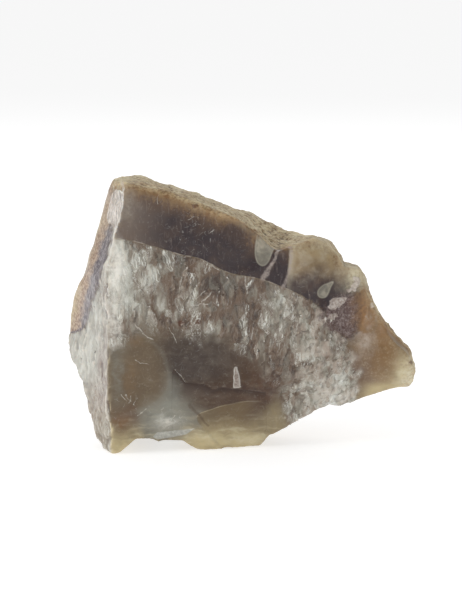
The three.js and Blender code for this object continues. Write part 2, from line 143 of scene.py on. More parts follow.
# Wider pale veins in the dark band at the notch: from, to, half width.
VEINS = [
    ((3.7, 29.6), (5.2, 32.0), 0.5), ((5.2, 32.0), (6.2, 34.4), 0.35), ((6.2, 34.4), (7.4, 35.6), 0.3),
    ((7.4, 35.6), (8.6, 35.2), 0.3), ((7.2, 28.0), (8.4, 31.4), 0.35), ((8.4, 31.4), (8.7, 34.6), 0.3),
]
# Fine dark cracks in the glossy chip: from, to, half width.
CRACKS = [((-21.5, 45.4), (-20.9, 42.6), 0.07), ((-20.9, 42.6), (-21.3, 40.6), 0.07),
          ((-22.5, 45.0), (-22.7, 43.8), 0.06), ((-21.9, 41.6), (-22.0, 40.2), 0.06)]
# Where the face is scuffed with short fine scratches: middle, reach, strength.
SCUFFED = [((-8.0, 38.0), 5.0, 0.13), ((-12.0, 4.6), 2.4, 0.5), ((-19.5, 8.0), 2.0, 0.45),
           ((-9.0, 20.0), 3.0, 0.4), ((-11.0, 32.0), 2.0, 0.25)]
# Small rust-coloured and dark inclusions: middle and radius.
RUST_SPOTS = [((-10.9, 21.8), 0.6), ((-10.2, 21.7), 0.4), ((-7.7, 22.0), 0.6),
              ((-18.8, 46.6), 0.7), ((-8.3, 42.5), 0.7), ((30.1, 14.8), 0.6)]
DARK_SPECKS = [((2.9, 17.0), 0.3), ((9.2, 14.3), 0.15), ((11.5, 6.8), 0.15), ((-25.9, 16.6), 0.2),
               ((-2.6, 5.4), 0.12)]

# ----------------------------------------
# Colours as they look in plain light, 0 to 255

RIND_TAN, RIND_BROWN, RIND_ORANGE = (170, 148, 112), (114, 90, 62), (146, 108, 68)
RIND_PALE, RIND_GREY = (196, 182, 148), (138, 127, 110)
# the last of these is painted shade, for the hollows of the rind
RUST, RIND_OLIVE, RIND_HOLLOW_SHADE = (110, 72, 38), (112, 96, 56), (66, 50, 34)
SIDE_RIND_DARK, SIDE_RIND_PALE = (132, 108, 92), (182, 162, 142)
BAND_DARK, BAND_BROWN, BAND_GREY = (40, 26, 29), (96, 72, 50), (100, 86, 76)
BAND_STREAK, BAND_SPECK = (128, 116, 108), (150, 140, 130)
BAND_SIDE_DARK, BAND_SIDE_PALE = (86, 78, 84), (156, 150, 150)
QUARTZ_DARK, QUARTZ_BROWN, QUARTZ_GREY = (62, 46, 36), (96, 76, 60), (126, 117, 104)
QUARTZ_GREEN, QUARTZ_PALE, QUARTZ_WHITE = (140, 140, 128), (182, 180, 170), (216, 216, 210)
PINK_WHITE, QUARTZ_WISP = (182, 169, 156), (216, 216, 208)
# The first is the pale line along the band's edge and also the painted highlight on sharp edges; the other
# two are the painted glow where the stone is thin.
EDGE_LIGHT, THIN_GLOW_CREAM, THIN_GLOW_COLD = (176, 166, 152), (214, 200, 164), (226, 224, 218)
LOBE_GREY, LOBE_RIM = (112, 108, 96), (164, 158, 142)
LUMP_TAN, LUMP_BROWN, LUMP_PALE = (152, 132, 98), (84, 66, 58), (172, 162, 142)
PURPLE, PINK_GREY, VEIN_PINK = (80, 58, 54), (158, 144, 138), (154, 142, 134)
# the first is the dark line of the step's crack and the painted shadow under its overhang
CRACK_AND_SHADE_BROWN, SPOT_BROWN, SPECK_DARK = (48, 26, 14), (78, 42, 20), (30, 22, 18)
# the first is partly painted sheen on the glossy chip
GLOSS_PALE_SHEEN, GLOSS_GREY = (216, 208, 200), (172, 164, 156)
FACET_COLD, FACET_PALE = (158, 158, 152), (182, 181, 173)
FLAKE_PALE, FLAKE_LIGHT, HAIR_PALE = (146, 133, 124), (196, 186, 177), (196, 192, 182)
NOSE_BROWN = (124, 94, 58)
LIP_TAN, LIP_PALE = (110, 92, 64), (172, 158, 122)
OLIVE, PLUM, UMBER, RUSSET = (97, 81, 60), (43, 29, 27), (64, 40, 22), (82, 46, 20)
CLOUD_PALE, CLOUD_DARK, GRAIN_CREAM = (148, 138, 122), (48, 34, 26), (176, 162, 136)
SAND, CREAM, CREAM_LIGHT = (140, 126, 96), (196, 180, 138), (204, 196, 168)
GREY_GREEN, PALE = (130, 130, 120), (160, 152, 138)
WARM_WHITE, COLD_WHITE, LAVENDER = (226, 222, 212), (206, 206, 198), (154, 136, 134)
SIDE_GREY = (160, 156, 150)
MAUVE, PINK_TAN, MAUVE_BROWN = (112, 90, 96), (158, 138, 126), (98, 78, 68)

# The waxy chalcedony drifts from one of these to the next: colour, middle, reach across and up.
# The cream ones at the bottom edge and the nose are partly painted glow of light through the thin stone.
DRIFTS = [
    (OLIVE, (-18.5, 14.0), (4.0, 5.5)),
    (GREY_GREEN, (-21.8, 17.6), (1.6, 2.4)),
    (PLUM, (-8.0, 15.0), (6.5, 4.5)),
    (UMBER, (-4.5, 9.2), (4.5, 1.8)),
    (UMBER, (3.0, 12.0), (6.0, 3.8)),
    (RUSSET, (3.6, 9.6), (3.6, 1.6)),
    (GREY_GREEN, (-13.5, 5.0), (4.6, 3.0)),
    (GREY_GREEN, (-12.8, 9.0), (1.3, 3.4)),
    (RUSSET, (-20.6, 4.6), (1.7, 1.8)),
    (MAUVE_BROWN, (20.6, 13.6), (1.9, 2.6)),
    (SAND, (6.4, 4.8), (1.8, 3.0)),
    (SAND, (-21.4, 2.6), (2.4, 1.8)),
    # partly painted glow: cream where light comes through the thin foot
    (CREAM, (-21.6, -0.3), (2.8, 2.5)),
    (SAND, (-2.0, 2.6), (6.0, 1.1)),
    # partly painted glow: cream where light comes through the thin bottom edge
    (CREAM, (-3.6, 0.4), (6.0, 1.6)),
    (UMBER, (0.0, 7.8), (6.0, 1.8)),
    (NOSE_BROWN, (24.0, 16.0), (4.5, 4.0)),
    # partly painted glow: cream where light comes through the thin tip and lower edge of the nose
    (CREAM, (30.5, 12.0), (2.6, 4.0)),
    (CREAM, (26.5, 9.2), (3.6, 1.8)),
]
# So does the left face, over its quartz; its cold white by the lower outer edge is partly painted glow
# of light through the thin stone there.
SIDE_DRIFTS = [
    (WARM_WHITE, (-22.4, 30.0), (1.1, 5.0)),
    # partly painted glow: cold white where light comes through the thin outer edge
    (COLD_WHITE, (-27.0, 19.0), (2.8, 5.0)),
    (SIDE_GREY, (-24.4, 27.0), (1.3, 5.0)),
    # partly painted glow: cold white where light comes through the thin outer edge
    (COLD_WHITE, (-28.2, 15.0), (2.6, 4.0)),
    (LAVENDER, (-24.0, 12.0), (1.2, 8.0)),
    (MAUVE, (-23.7, 27.3), (0.6, 1.1)),
    (PINK_TAN, (-25.6, 6.5), (2.0, 4.0)),
    (SAND, (-24.0, 3.4), (2.0, 3.2)),
]
# Stains over whatever lies there on the face, and some painted glow and shade: colour, middle, reach
# across and up, strength.
STAINS = [
    (WARM_WHITE, (-22.1, 30.8), (1.1, 4.4), 1.0),
    (PALE, (-20.0, 42.8), (1.8, 3.0), 0.45),
    (WARM_WHITE, (-22.4, 22.6), (1.1, 4.4), 0.8),
    (CREAM_LIGHT, (-22.0, 47.0), (2.4, 1.8), 0.8),
    (CREAM_LIGHT, (-24.0, 42.0), (1.2, 4.5), 0.6),
    (CREAM_LIGHT, (9.8, 35.4), (1.3, 1.0), 0.4),
    (CREAM_LIGHT, (20.2, 30.2), (2.4, 2.4), 0.85),
    (RIND_ORANGE, (21.6, 23.2), (1.7, 3.8), 0.8),
    # painted shade along the step, under its overhang, over the dark line of its crack
    (CRACK_AND_SHADE_BROWN, (0.4, 10.0), (6.6, 0.9), 0.75),
    (RUSSET, (5.0, 11.8), (2.6, 1.6), 0.35),
    (GREY_GREEN, (-22.0, 12.4), (0.9, 4.4), 0.45),
    (CREAM_LIGHT, (14.2, 35.8), (2.0, 1.4), 0.45),
    (NOSE_BROWN, (-19.5, 12.0), (1.3, 3.2), 0.35),
    (NOSE_BROWN, (-18.6, 18.4), (1.6, 1.0), 0.3),
    (RUSSET, (-19.2, 6.4), (1.1, 1.1), 0.35),
    (RUST, (-21.1, 3.9), (1.3, 1.1), 0.7),
    # partly painted glow of light through the thin tip of the nose
    (CREAM_LIGHT, (30.0, 11.8), (2.0, 3.4), 0.95),
    (PINK_WHITE, (21.8, 18.4), (1.8, 2.0), 0.7),
    (RIND_ORANGE, (25.2, 20.6), (1.2, 2.4), 0.5),
    (WARM_WHITE, (-13.2, 3.9), (1.9, 1.1), 0.6),
    # partly painted glow of light through the thin bottom edge, over its cream rim
    (CREAM_LIGHT, (-6.6, 1.4), (1.6, 0.8), 0.55),
    (CREAM_LIGHT, (1.2, 0.6), (4.5, 0.7), 0.45),
]
# Where the quartz is whiter (over 0) or darker (under 0): how much, middle, reach across and up.
BRIGHTNESS = [
    (-0.15, (0.0, 25.0), (14.0, 12.0)),
    (1.5, (-21.6, 30.5), (1.7, 6.5)),
    (0.7, (-19.0, 28.5), (2.6, 6.0)),
    (0.9, (-15.8, 30.0), (1.3, 2.2)),
    (0.9, (-8.2, 24.8), (2.2, 2.0)),
    (0.8, (-19.5, 34.2), (1.6, 2.6)),
    (0.6, (5.4, 22.6), (2.6, 6.0)),
    (0.7, (12.8, 17.0), (2.8, 2.6)),
    (0.5, (-13.4, 24.8), (1.6, 1.8)),
    (-0.8, (-5.6, 28.4), (3.2, 3.0)),
    (-0.2, (-1.5, 23.0), (2.2, 4.0)),
    (-0.5, (-13.2, 33.4), (2.6, 1.2)),
    (0.5, (-5.0, 20.6), (2.4, 1.2)),
    (-0.25, (6.0, 15.0), (4.0, 2.6)),
    (1.5, (17.0, 8.8), (4.4, 4.2)),
    (0.5, (10.6, 4.8), (2.6, 2.6)),
    (0.12, (-16.0, 27.0), (2.6, 4.0)),
    (0.35, (9.2, 23.4), (4.4, 3.4)),
]


# ----------------------------------------
# Numbers on points: ramps, distances, noise

def ramp(x, low, high):
    """0 below low, 1 above high, and smooth between them; high may be the lower one."""
    t = np.clip((x - low) / (high - low), 0.0, 1.0)
    return t * t * (3.0 - 2.0 * t)


def linear(colour):
    """A colour given as 0 to 255 values, as the light it stands for."""
    c = np.array(colour, float) / 255.0
    return np.where(c <= 0.04045, c / 12.92, ((c + 0.055) / 1.055) ** 2.4)


def path_distance(path, at):
    """How far each place is from an open or closed path of straight stretches."""
    nearest = np.full(len(at), np.inf)
    for a, b in zip(path[:-1], path[1:]):
        a, b = np.array(a), np.array(b)
        along = np.clip((at - a) @ (b - a) / ((b - a) @ (b - a)), 0.0, 1.0)
        nearest = np.minimum(nearest, np.linalg.norm(at - a - along[:, None] * (b - a), axis=1))
    return nearest


def rounded(outline, times=2):
    """A closed outline with its corners cut, again and again, into a curve."""
    for _ in range(times):
        following = outline[1:] + outline[:1]
        outline = [
            (a[0] + share * (b[0] - a[0]), a[1] + share * (b[1] - a[1]))
            for a, b in zip(outline, following)
            for share in (0.25, 0.75)
        ]
    return outline


def height_on(path, u):
    """The v of a left-to-right path at each u, with its corners rounded."""
    near = (-0.9, -0.3, 0.3, 0.9)
    across_path, heights = np.array(path).T
    return sum(np.interp(u + step, across_path, heights) for step in near) / len(near)


def inside_distance(outline, at):
    """How far inside a closed outline each place is; less than 0 outside it."""
    closed = outline + outline[:1]
    inside = np.zeros(len(at), bool)
    for (x1, y1), (x2, y2) in zip(closed[:-1], closed[1:]):
        crosses = (at[:, 1] < y1) != (at[:, 1] < y2)
        with np.errstate(divide="ignore", invalid="ignore"):
            left = at[:, 0] < x1 + (at[:, 1] - y1) * (x2 - x1) / (y2 - y1)
        inside ^= crosses & left
    distance = path_distance(closed, at)
    return np.where(inside, distance, -distance)


def inside_any(outlines, at):
    """How far inside the nearest of several outlines each place is."""
    return np.max([inside_distance(outline, at) for outline in outlines], axis=0)


def nearness(at, middle, reach):
    """1 at the middle of a soft spot, falling off over its reach across and up."""
    return np.exp(-(((at - middle) / reach) ** 2).sum(1))


# Large odd numbers that stir the bits of a cell and a seed.
CELL_FACTORS = (73856093, 19349663, 83492791)
SEED_FACTOR = 2654435761
STIR_FIRST, STIR_LAST = np.uint32(2246822519), np.uint32(3266489917)
NOISE_GAIN = 1.6  # brings the noise to about -1 to 1


def hashed(cell, seed):
    """A repeatable number from 0 to 1 for each whole-number cell."""
    x, y, z = (cell[..., k].astype(np.uint32) * np.uint32(factor) for k, factor in enumerate(CELL_FACTORS))
    n = (x ^ y ^ z ^ np.uint32(seed * SEED_FACTOR % 2**32)) * STIR_FIRST
    n = (n ^ (n >> np.uint32(13))) * STIR_LAST
    n = n ^ (n >> np.uint32(16))
    return n.astype(np.float64) / 2.0**32


def noise(p, size, seed):
    """Smooth noise of about -1 to 1 in lumps of the given size, one number or one for each axis."""
    q = p / np.array(size, float)
    base = np.floor(q).astype(np.int64)
    t = q - base
    w = t * t * t * (t * (t * 6.0 - 15.0) + 10.0)
    total = np.zeros(len(p))
    for corner in itertools.product((0, 1), repeat=3):
        c = np.array(corner)
        lean = np.stack([hashed(base + c, seed + k) for k in range(3)], 1) * 2.0 - 1.0
        weight = np.prod(np.where(c == 1, w, 1.0 - w), axis=1)
        total += weight * (lean * (t - c)).sum(1)
    return total * NOISE_GAIN


def pushed(at, p, amount, size, seed):
    """The places at, each pushed about by noise at its point p."""
    return at + amount * np.stack([noise(p, size, seed + k) for k in range(at.shape[1])], 1)


def cells(p, size, seed):
    """The nearest of scattered seeds: its distance, its own number of 0 to 1, and where the point
    lies from it, in units of size."""
    q = p / np.array(size, float)
    base = np.floor(q).astype(np.int64)
    nearest, number, offset = np.full(len(p), np.inf), np.zeros(len(p)), np.zeros(p.shape)
    for step in itertools.product((-1, 0, 1), repeat=3):
        cell = base + np.array(step)
        to_seed = q - cell - np.stack([hashed(cell, seed + k) for k in range(3)], 1)
        far = np.linalg.norm(to_seed, axis=1)
        nearer = far < nearest
        number = np.where(nearer, hashed(cell, seed + 7), number)
        offset = np.where(nearer[:, None], to_seed, offset)
        nearest = np.where(nearer, far, nearest)
    return nearest, number, offset


# ----------------------------------------
# The mesh: a fine, even copy of the CAD solid

SUBDIVISIONS = 2
CREASE_FROM, CREASE_FULL = math.radians(24), math.radians(48)
VOXEL = 0.315  # mm
WELD = 0.0005  # mm


def placed(name, data):
    """A new object in the scene."""
    holder = bpy.data.objects.new(name, data)
    bpy.context.scene.collection.objects.link(holder)
    return holder


def rounded_copy(node):
    """The CAD solid with its facets smoothed and its real edges kept, as a new mesh."""
    mesh = node.data.copy()
    bm = bmesh.new()
    bm.from_mesh(mesh)
    bmesh.ops.remove_doubles(bm, verts=bm.verts, dist=WELD * MM)
    crease = bm.edges.layers.float.new("crease_edge")
    for edge in bm.edges:
        sharp = (edge.calc_face_angle(0.0) - CREASE_FROM) / (CREASE_FULL - CREASE_FROM)
        edge[crease] = min(max(sharp, 0.0), 1.0)
    bm.to_mesh(mesh)
    bm.free()
    carrier = placed("carrier", mesh)
    smooth = carrier.modifiers.new("smooth", "SUBSURF")
    smooth.levels = smooth.render_levels = SUBDIVISIONS
    even = carrier.modifiers.new("even", "REMESH")
    even.mode = "VOXEL"
    even.voxel_size = VOXEL * MM
    made = bpy.data.meshes.new_from_object(carrier.evaluated_get(bpy.context.evaluated_depsgraph_get()))
    bpy.data.objects.remove(carrier)
    bpy.data.meshes.remove(mesh)
    return made


class Surface:
    """The mesh as arrays, in millimetres."""

    def __init__(self, mesh):
        self.mesh = mesh
        flat = np.empty(len(mesh.vertices) * 3)
        mesh.vertices.foreach_get("co", flat)
        self.points = flat.reshape(-1, 3) / MM
        edges = np.empty(len(mesh.edges) * 2, np.int64)
        mesh.edges.foreach_get("vertices", edges)
        self.edges = edges.reshape(-1, 2)
        self.degree = np.bincount(self.edges.ravel(), minlength=len(self.points))
        triangles = np.empty(len(mesh.loop_triangles) * 3, np.int64)
        mesh.loop_triangles.foreach_get("vertices", triangles)
        self.triangles = triangles.reshape(-1, 3)

    def normals(self):
        """The way each point faces, from the triangles about it."""
        a, b, c = (self.points[self.triangles[:, k]] for k in range(3))
        face = np.cross(b - a, c - a)
        out = np.stack([
            sum(np.bincount(self.triangles[:, k], face[:, axis], len(self.points)) for k in range(3))
            for axis in range(3)
        ], 1)
        return out / np.maximum(np.linalg.norm(out, axis=1), 1e-12)[:, None]

    def spread(self, values, times, share=0.6):
        """The values evened out between neighbours, again and again."""
        i, j = self.edges.T
        flat = values.reshape(len(values), -1)
        for _ in range(times):
            near = np.stack([
                np.bincount(i, column[j], len(flat)) + np.bincount(j, column[i], len(flat))
                for column in flat.T
            ], 1) / self.degree[:, None]
            flat = flat + share * (near - flat)
        return flat.reshape(values.shape)

    def keep(self):
        """Moves the mesh's points to where they are here."""
        self.mesh.vertices.foreach_set("co", (self.points * MM).ravel())
        self.mesh.update()

    def store(self, name, values):
        """Keeps a number or a colour for each point, for the material to read."""
        if values.ndim == 2:
            rgba = np.concatenate([values, np.ones((len(values), 1))], 1)
            self.mesh.attributes.new(name, "FLOAT_COLOR", "POINT").data.foreach_set("color", rgba.ravel())
        else:
            self.mesh.attributes.new(name, "FLOAT", "POINT").data.foreach_set("value", values)


def ray_cone(rays, spread=0.75):
    """Directions spread evenly over a wide cone about Z."""
    turn = math.pi * (3 - math.sqrt(5))
    heights = [1 - spread * (k + 0.5) / rays for k in range(rays)]
    sides = [math.sqrt(1 - height * height) for height in heights]
    return [
        Vector((side * math.cos(turn * k), side * math.sin(turn * k), height))
        for k, (side, height) in enumerate(zip(sides, heights))
    ]


def thinness(surface, out, rays=10, reach=12.0, start_depth=0.05, glow_depth=2.2):
    """How little stone lies behind each point: 1 at a knife edge and 0 in the thick of it."""
    tree = BVHTree.FromPolygons(surface.points.tolist(), surface.triangles.tolist(), epsilon=0.0)
    cone = ray_cone(rays)
    found = np.zeros(len(surface.points))
    for n, (point, normal) in enumerate(zip(surface.points.tolist(), out.tolist())):
        inwards = -Vector(normal)
        basis = inwards.to_track_quat("Z", "Y")
        start = Vector(point) + inwards * start_depth
        hits = (tree.ray_cast(start, basis @ direction, reach)[3] for direction in cone)
        found[n] = sum(math.exp(-(reach if hit is None else hit) / glow_depth) for hit in hits) / rays
    return found


# ----------------------------------------
# What each point of the stone is made of

SIDE_LOW = 19.0  # the left face shows its layers above this height, in mm
CHIPPED = 0.36  # how much further than elsewhere the right of the face is chipped back
OUTSIDE = -5.0  # stored where a point can't be in a shape, in mm


def side_masks(surface):
    """Where the surface is weathered skin, and where it is the left face, from which way it faces."""
    out = surface.spread(surface.normals(), 12)
    out /= np.linalg.norm(out, axis=1)[:, None]
    x, y, _ = surface.points.T
    wobble = noise(surface.points, 5.0, 5) + 0.5 * noise(surface.points, 2.0, 6)
    wavy_y = y + 0.8 * wobble
    # the lump, the nose and the notch are chipped back to where the view leaves them
    towards_view = LOOK_BACK[2] * out[:, 2] + LOOK_BACK[1] * out[:, 1]
    notch = ramp(x, 0.5, 4.0) * ramp(y, -4.0, -8.0)
    chipped = CHIPPED * np.maximum(ramp(x, 8.0, 11.0), notch)
    front = ramp(towards_view + 0.08 * wobble + chipped, 0.5, 0.65) * ramp(y, 5.0, 3.0)
    left = ramp(-out[:, 0] + 0.08 * wobble, 0.5, 0.62) * ramp(wavy_y, 5.6, 4.2) * ramp(x, -18, -20)
    under = ramp(-out[:, 2] + 0.1 * wobble, 0.25, 0.45) * ramp(wavy_y, 5.5, 3.5)
    skin = 1 - np.maximum(np.maximum(front, left), under)
    return surface.spread(skin, 2), surface.spread(left, 2), out


def depth_below(surface, skin):
    """How far each point is from the nearest weathered skin, along a straight line."""
    weathered = np.flatnonzero(skin > 0.5)
    tree = KDTree(len(weathered))
    for k in weathered:
        tree.insert(surface.points[k], int(k))
    tree.balance()
    rest = np.flatnonzero(skin <= 0.5)
    depth = np.zeros(len(skin))
    depth[rest] = [tree.find(surface.points[k])[2] for k in rest]
    return surface.spread(depth, 2)


def towards_front(points):
    """1 on the broken face, fading to 0 before the back."""
    return ramp(points[:, 1], 1.0, -4.0)


def rind_missing(surface, skin, uv):
    """How much deeper in the stone the face by the notch looks, where it has lost its rind."""
    missing = sum(most * nearness(uv, middle, reach) for middle, reach, most in NO_RIND)
    return missing * (1 - skin) * towards_front(surface.points)


def across(path, v):
    """The u of a top-to-bottom path at each height v."""
    u, heights = np.array(path[::-1]).T
    return np.interp(v, heights, u)


def zones(surface, skin, left, uv):
    """Where each layer lies. band and rind_side are how far a point is inside the dark band and,
    on the left face, inside the rind, in mm; quartz is 1 in the splintery zone, nose on the nose."""
    u, v = uv.T
    wobble = 0.5 * noise(surface.points, 1.6, 62)
    too_low = 6.0 * (1 - ramp(v, SIDE_LOW - 1.0, SIDE_LOW + 2.0))
    on_front = v - height_on(BAND_EDGE, u)
    on_side = across(BAND_SIDE, v) - u + wobble - too_low
    band = np.where(left > 0.5, on_side, on_front)
    rind_side = across(RIND_SIDE, v) - u + wobble - too_low
    above = np.sign(v - height_on(QUARTZ_EDGE, u)) * path_distance(QUARTZ_EDGE, uv)
    ragged = 1.3 * noise(surface.points, (1.6, 1.6, 3.0), 61) + 0.8 * noise(surface.points, 3.5, 63)
    nose = ramp(inside_distance(NOSE, uv) + ragged, -1.2, 1.2)
    quartz = np.maximum(ramp(above + ragged, -2.2, 1.6) * (1 - nose), left)
    quartz = quartz * ramp(band, 0.05, -0.25) * (1 - skin)
    return band, np.where(left > 0.5, rind_side, OUTSIDE), quartz, nose


def shapes_on_face(points, left, uv):
    """How far inside each named shape of the face each point is, in mm."""
    flake_edge = 0.12 + 0.4 * ramp(uv[:, 0], 8, 12)
    gloss = inside_distance(rounded(GLOSS), uv) + 0.4 * noise(points, 1.3, 163)
    near_ridge = (left > 0.3) & (points[:, 1] < GLOSS_BACK)
    return {
        "lobe": inside_any([rounded(lobe) for lobe in LOBES], uv),
        "flake": inside_any(FLAKES, uv) + flake_edge * noise(points, 0.6, 162),
        "purple": inside_distance(PURPLE_PATCH, uv),
        "lip": inside_distance(rounded(LIP), uv),
        "facet": inside_distance(FACET, uv),
        "olive": inside_distance(rounded(OLIVE_LOBE), uv) + 0.4 * noise(points, 2.0, 161),
        "lump": inside_distance(LUMP, uv),
        "gloss": np.where(near_ridge, gloss, OUTSIDE),
    }


# ----------------------------------------
# Relief, in millimetres

# Noises: height, size, seed.
SKIN_GRAIN = [(0.14, 1.7, 101), (0.12, 0.9, 102), (0.06, 0.55, 103), (0.2, 4.5, 104)]
FLUTES = [(0.12, (1.3, 1.3, 4.0), 33), (0.08, (0.6, 0.6, 2.0), 31)]
LEFT_KNOBS = [(0.4, 2.4, 181), (0.12, 1.1, 182)]
RIDGE_WRINKLES = [(0.08, (0.7, 0.7, 2.2), 192)]
WAXY_SWELL = [(0.07, 2.6, 121), (0.02, 0.8, 122)]
PURPLE_CRYSTALS = [(0.14, 0.6, 131)]

PIT_SPACING, PIT_DEPTH, PITTED_FROM = 2.6, 0.4, 0.6
TALL_SPLINTER, ROUND_SPLINTER = (1.3, 1.3, 4.0), (1.2, 1.2, 1.4)
SPLINTER_HEIGHT = 0.24
TALL_BEFORE = 4.0  # the u where tall splinters give way to round ones
CHIP_DEPTH, GLOSS_DEPTH, LIP_DEPTH, FLAKE_HEIGHT = 0.5, 0.2, 0.3, 0.22
STEP_FADE = 0.9
# Ledges: path, drop, how far below it the face comes back, and how far its ends fade.
LEDGES = [(STEP, 0.55, 2.6, STEP_FADE), (ARC, 0.2, 3.0, 2.0)]


def layered(p, noises):
    """The sum of several noises."""
    return sum(height * noise(p, size, seed) for height, size, seed in noises)


def skin_relief(p):
    """The grain and the scattered pits of the weathered skin."""
    near, number, _ = cells(p, PIT_SPACING, 51)
    return layered(p, SKIN_GRAIN) - PIT_DEPTH * ramp(near, 0.4, 0.12) * (number > PITTED_FROM)


def splinter_relief(bent, u):
    """Fluted splinters, each at its own height and tilt."""
    _, tall, tall_offset = cells(bent, TALL_SPLINTER, 21)
    _, short, short_offset = cells(bent, ROUND_SPLINTER, 25)
    number = np.where(u < TALL_BEFORE, tall, short)
    tilt = np.where(u < TALL_BEFORE, tall_offset[:, 0], short_offset[:, 0])
    return SPLINTER_HEIGHT * (number - 0.5 + tilt * np.sin(40 * number)) + layered(bent, FLUTES)


def below_path(path, uv, fade):
    """How far below a left-to-right path each place is, and 1 along it, fading out past its ends."""
    u, v = uv.T
    below = np.interp(u, *np.array(path).T) - v
    (first, _), (last, _) = path[0], path[-1]
    return below, ramp(u, first - fade, first + fade) * ramp(u, last + fade, last - fade)


def ledge(path, uv, drop, reach, fade):
    """A step down below a path, which rises back to the face over its reach."""
    below, along = below_path(path, uv, fade)
    return -drop * along * ramp(below, -0.05, 0.25) * np.exp(-np.maximum(below, 0) / reach)


def face_relief(shapes, uv):
    """The ledges, the flakes and the shell-shaped hollow of the lip."""
    flakes = FLAKE_HEIGHT * ramp(shapes["flake"], -0.1, 0.25)
    lip = LIP_DEPTH * ramp(shapes["lip"], -0.05, 0.3) * np.exp(-np.maximum(shapes["lip"], 0) / 2.5)
    return sum(ledge(path, uv, *sizes) for path, *sizes in LEDGES) + flakes - lip


def relief(p, skin, left, quartz, shapes, uv):
    """How far each point moves outwards."""
    bent = pushed(p, p, 0.7, 2.2, 111)
    broken = 1 - skin
    front = broken * (1 - left)
    ridge = 4 * left * (1 - left) * broken
    return sum([
        skin * skin_relief(p),
        quartz * splinter_relief(bent, uv[:, 0]),
        quartz * left * layered(p, LEFT_KNOBS),
        quartz * ramp(left, 0.4, 0.8) * layered(bent, RIDGE_WRINKLES),
        -CHIP_DEPTH * ridge * ramp(noise(p, (1.6, 1.6, 2.4), 191), 0.0, 0.6),
        broken * (1 - quartz) * layered(p, WAXY_SWELL),
        front * ramp(shapes["purple"], -0.4, 0.4) * layered(p, PURPLE_CRYSTALS),
        -GLOSS_DEPTH * broken * ramp(shapes["gloss"], -0.05, 0.3),
        front * face_relief(shapes, uv),
    ])


# ----------------------------------------
# Colours on points

def drifted(points, uv, drifts, elsewhere):
    """A colour that drifts from place to place, in linear light."""
    wandering = pushed(uv, points, 0.8, 3.5, 141)
    total = np.full(len(uv), 0.15)
    colour = total[:, None] * linear(elsewhere)
    for tint, middle, reach in drifts:
        near = nearness(wandering, middle, reach)
        total += near
        colour += near[:, None] * linear(tint)
    return colour / total[:, None]


def stained(points, uv):
    """The stains' colour, and how strong they are, from place to place."""
    wandering = pushed(uv, points, 0.9, 1.6, 171)
    strength = np.zeros(len(uv))
    colour = np.zeros((len(uv), 3))
    for tint, middle, reach, most in STAINS:
        near = most * nearness(wandering, middle, reach)
        colour = np.where((near > strength)[:, None], linear(tint), colour)
        strength = np.maximum(strength, near)
    return colour, strength * towards_front(points)


def brightness(points, uv):
    """How white the quartz is from place to place."""
    spots = sum(amount * nearness(uv, middle, reach) for amount, middle, reach in BRIGHTNESS)
    return 0.12 * noise(points, 3.0, 151) + spots


def store_colours(surface, out, uv, layers, shapes):
    """Stores what the material reads: the layers, the shapes and the colours on points."""
    below_step, along_step = below_path(STEP, uv, STEP_FADE)
    stain, stain_strength = stained(surface.points, uv)
    hidden = layers["skin"] > 0.4
    fields = layers | {name: np.where(hidden, OUTSIDE, inside) for name, inside in shapes.items()} | {
        "bright": brightness(surface.points, uv),
        "thin": thinness(surface, out),
        "sharp": ((surface.points - surface.spread(surface.points, 6)) * out).sum(1),
        # how far below the step, for the dark line of its crack and the painted shadow under it
        "crack": np.where(along_step > 0.05, below_step, OUTSIDE),
        "tint": drifted(surface.points, uv, DRIFTS, OLIVE),
        "side_tint": drifted(surface.points, uv, SIDE_DRIFTS, COLD_WHITE),
        "stain": stain,
        "stained": stain_strength,
    }
    for name, values in fields.items():
        surface.store(name, values)


def make_stone():
    """The fine stone, with its relief and with what its material reads."""
    mesh = rounded_copy(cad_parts["agate"])
    mesh.calc_loop_triangles()
    surface = Surface(mesh)
    skin, left, out = side_masks(surface)
    uv = np.stack([surface.points[:, 0], surface.points[:, 2] + LOOK_SLOPE * surface.points[:, 1]], 1)
    deep = depth_below(surface, skin) + rind_missing(surface, skin, uv)
    band, rind_side, quartz, nose = zones(surface, skin, left, uv)
    shapes = shapes_on_face(surface.points, left, uv)

    surface.points += relief(surface.points, skin, left, quartz, shapes, uv)[:, None] * out
    surface.points[:, 2] = np.maximum(surface.points[:, 2], 0.0)
    surface.keep()
    out = surface.spread(surface.normals(), 2)

    layers = {
        "skin": skin,
        "deep": deep,
        "left": left,
        "band": band,
        "rind_side": rind_side,
        "quartz": quartz,
        "nose": nose,
    }
    store_colours(surface, out, uv, layers, shapes)
    mesh.shade_smooth()
    return placed("rough_agate", mesh)


# ----------------------------------------
# Making a material

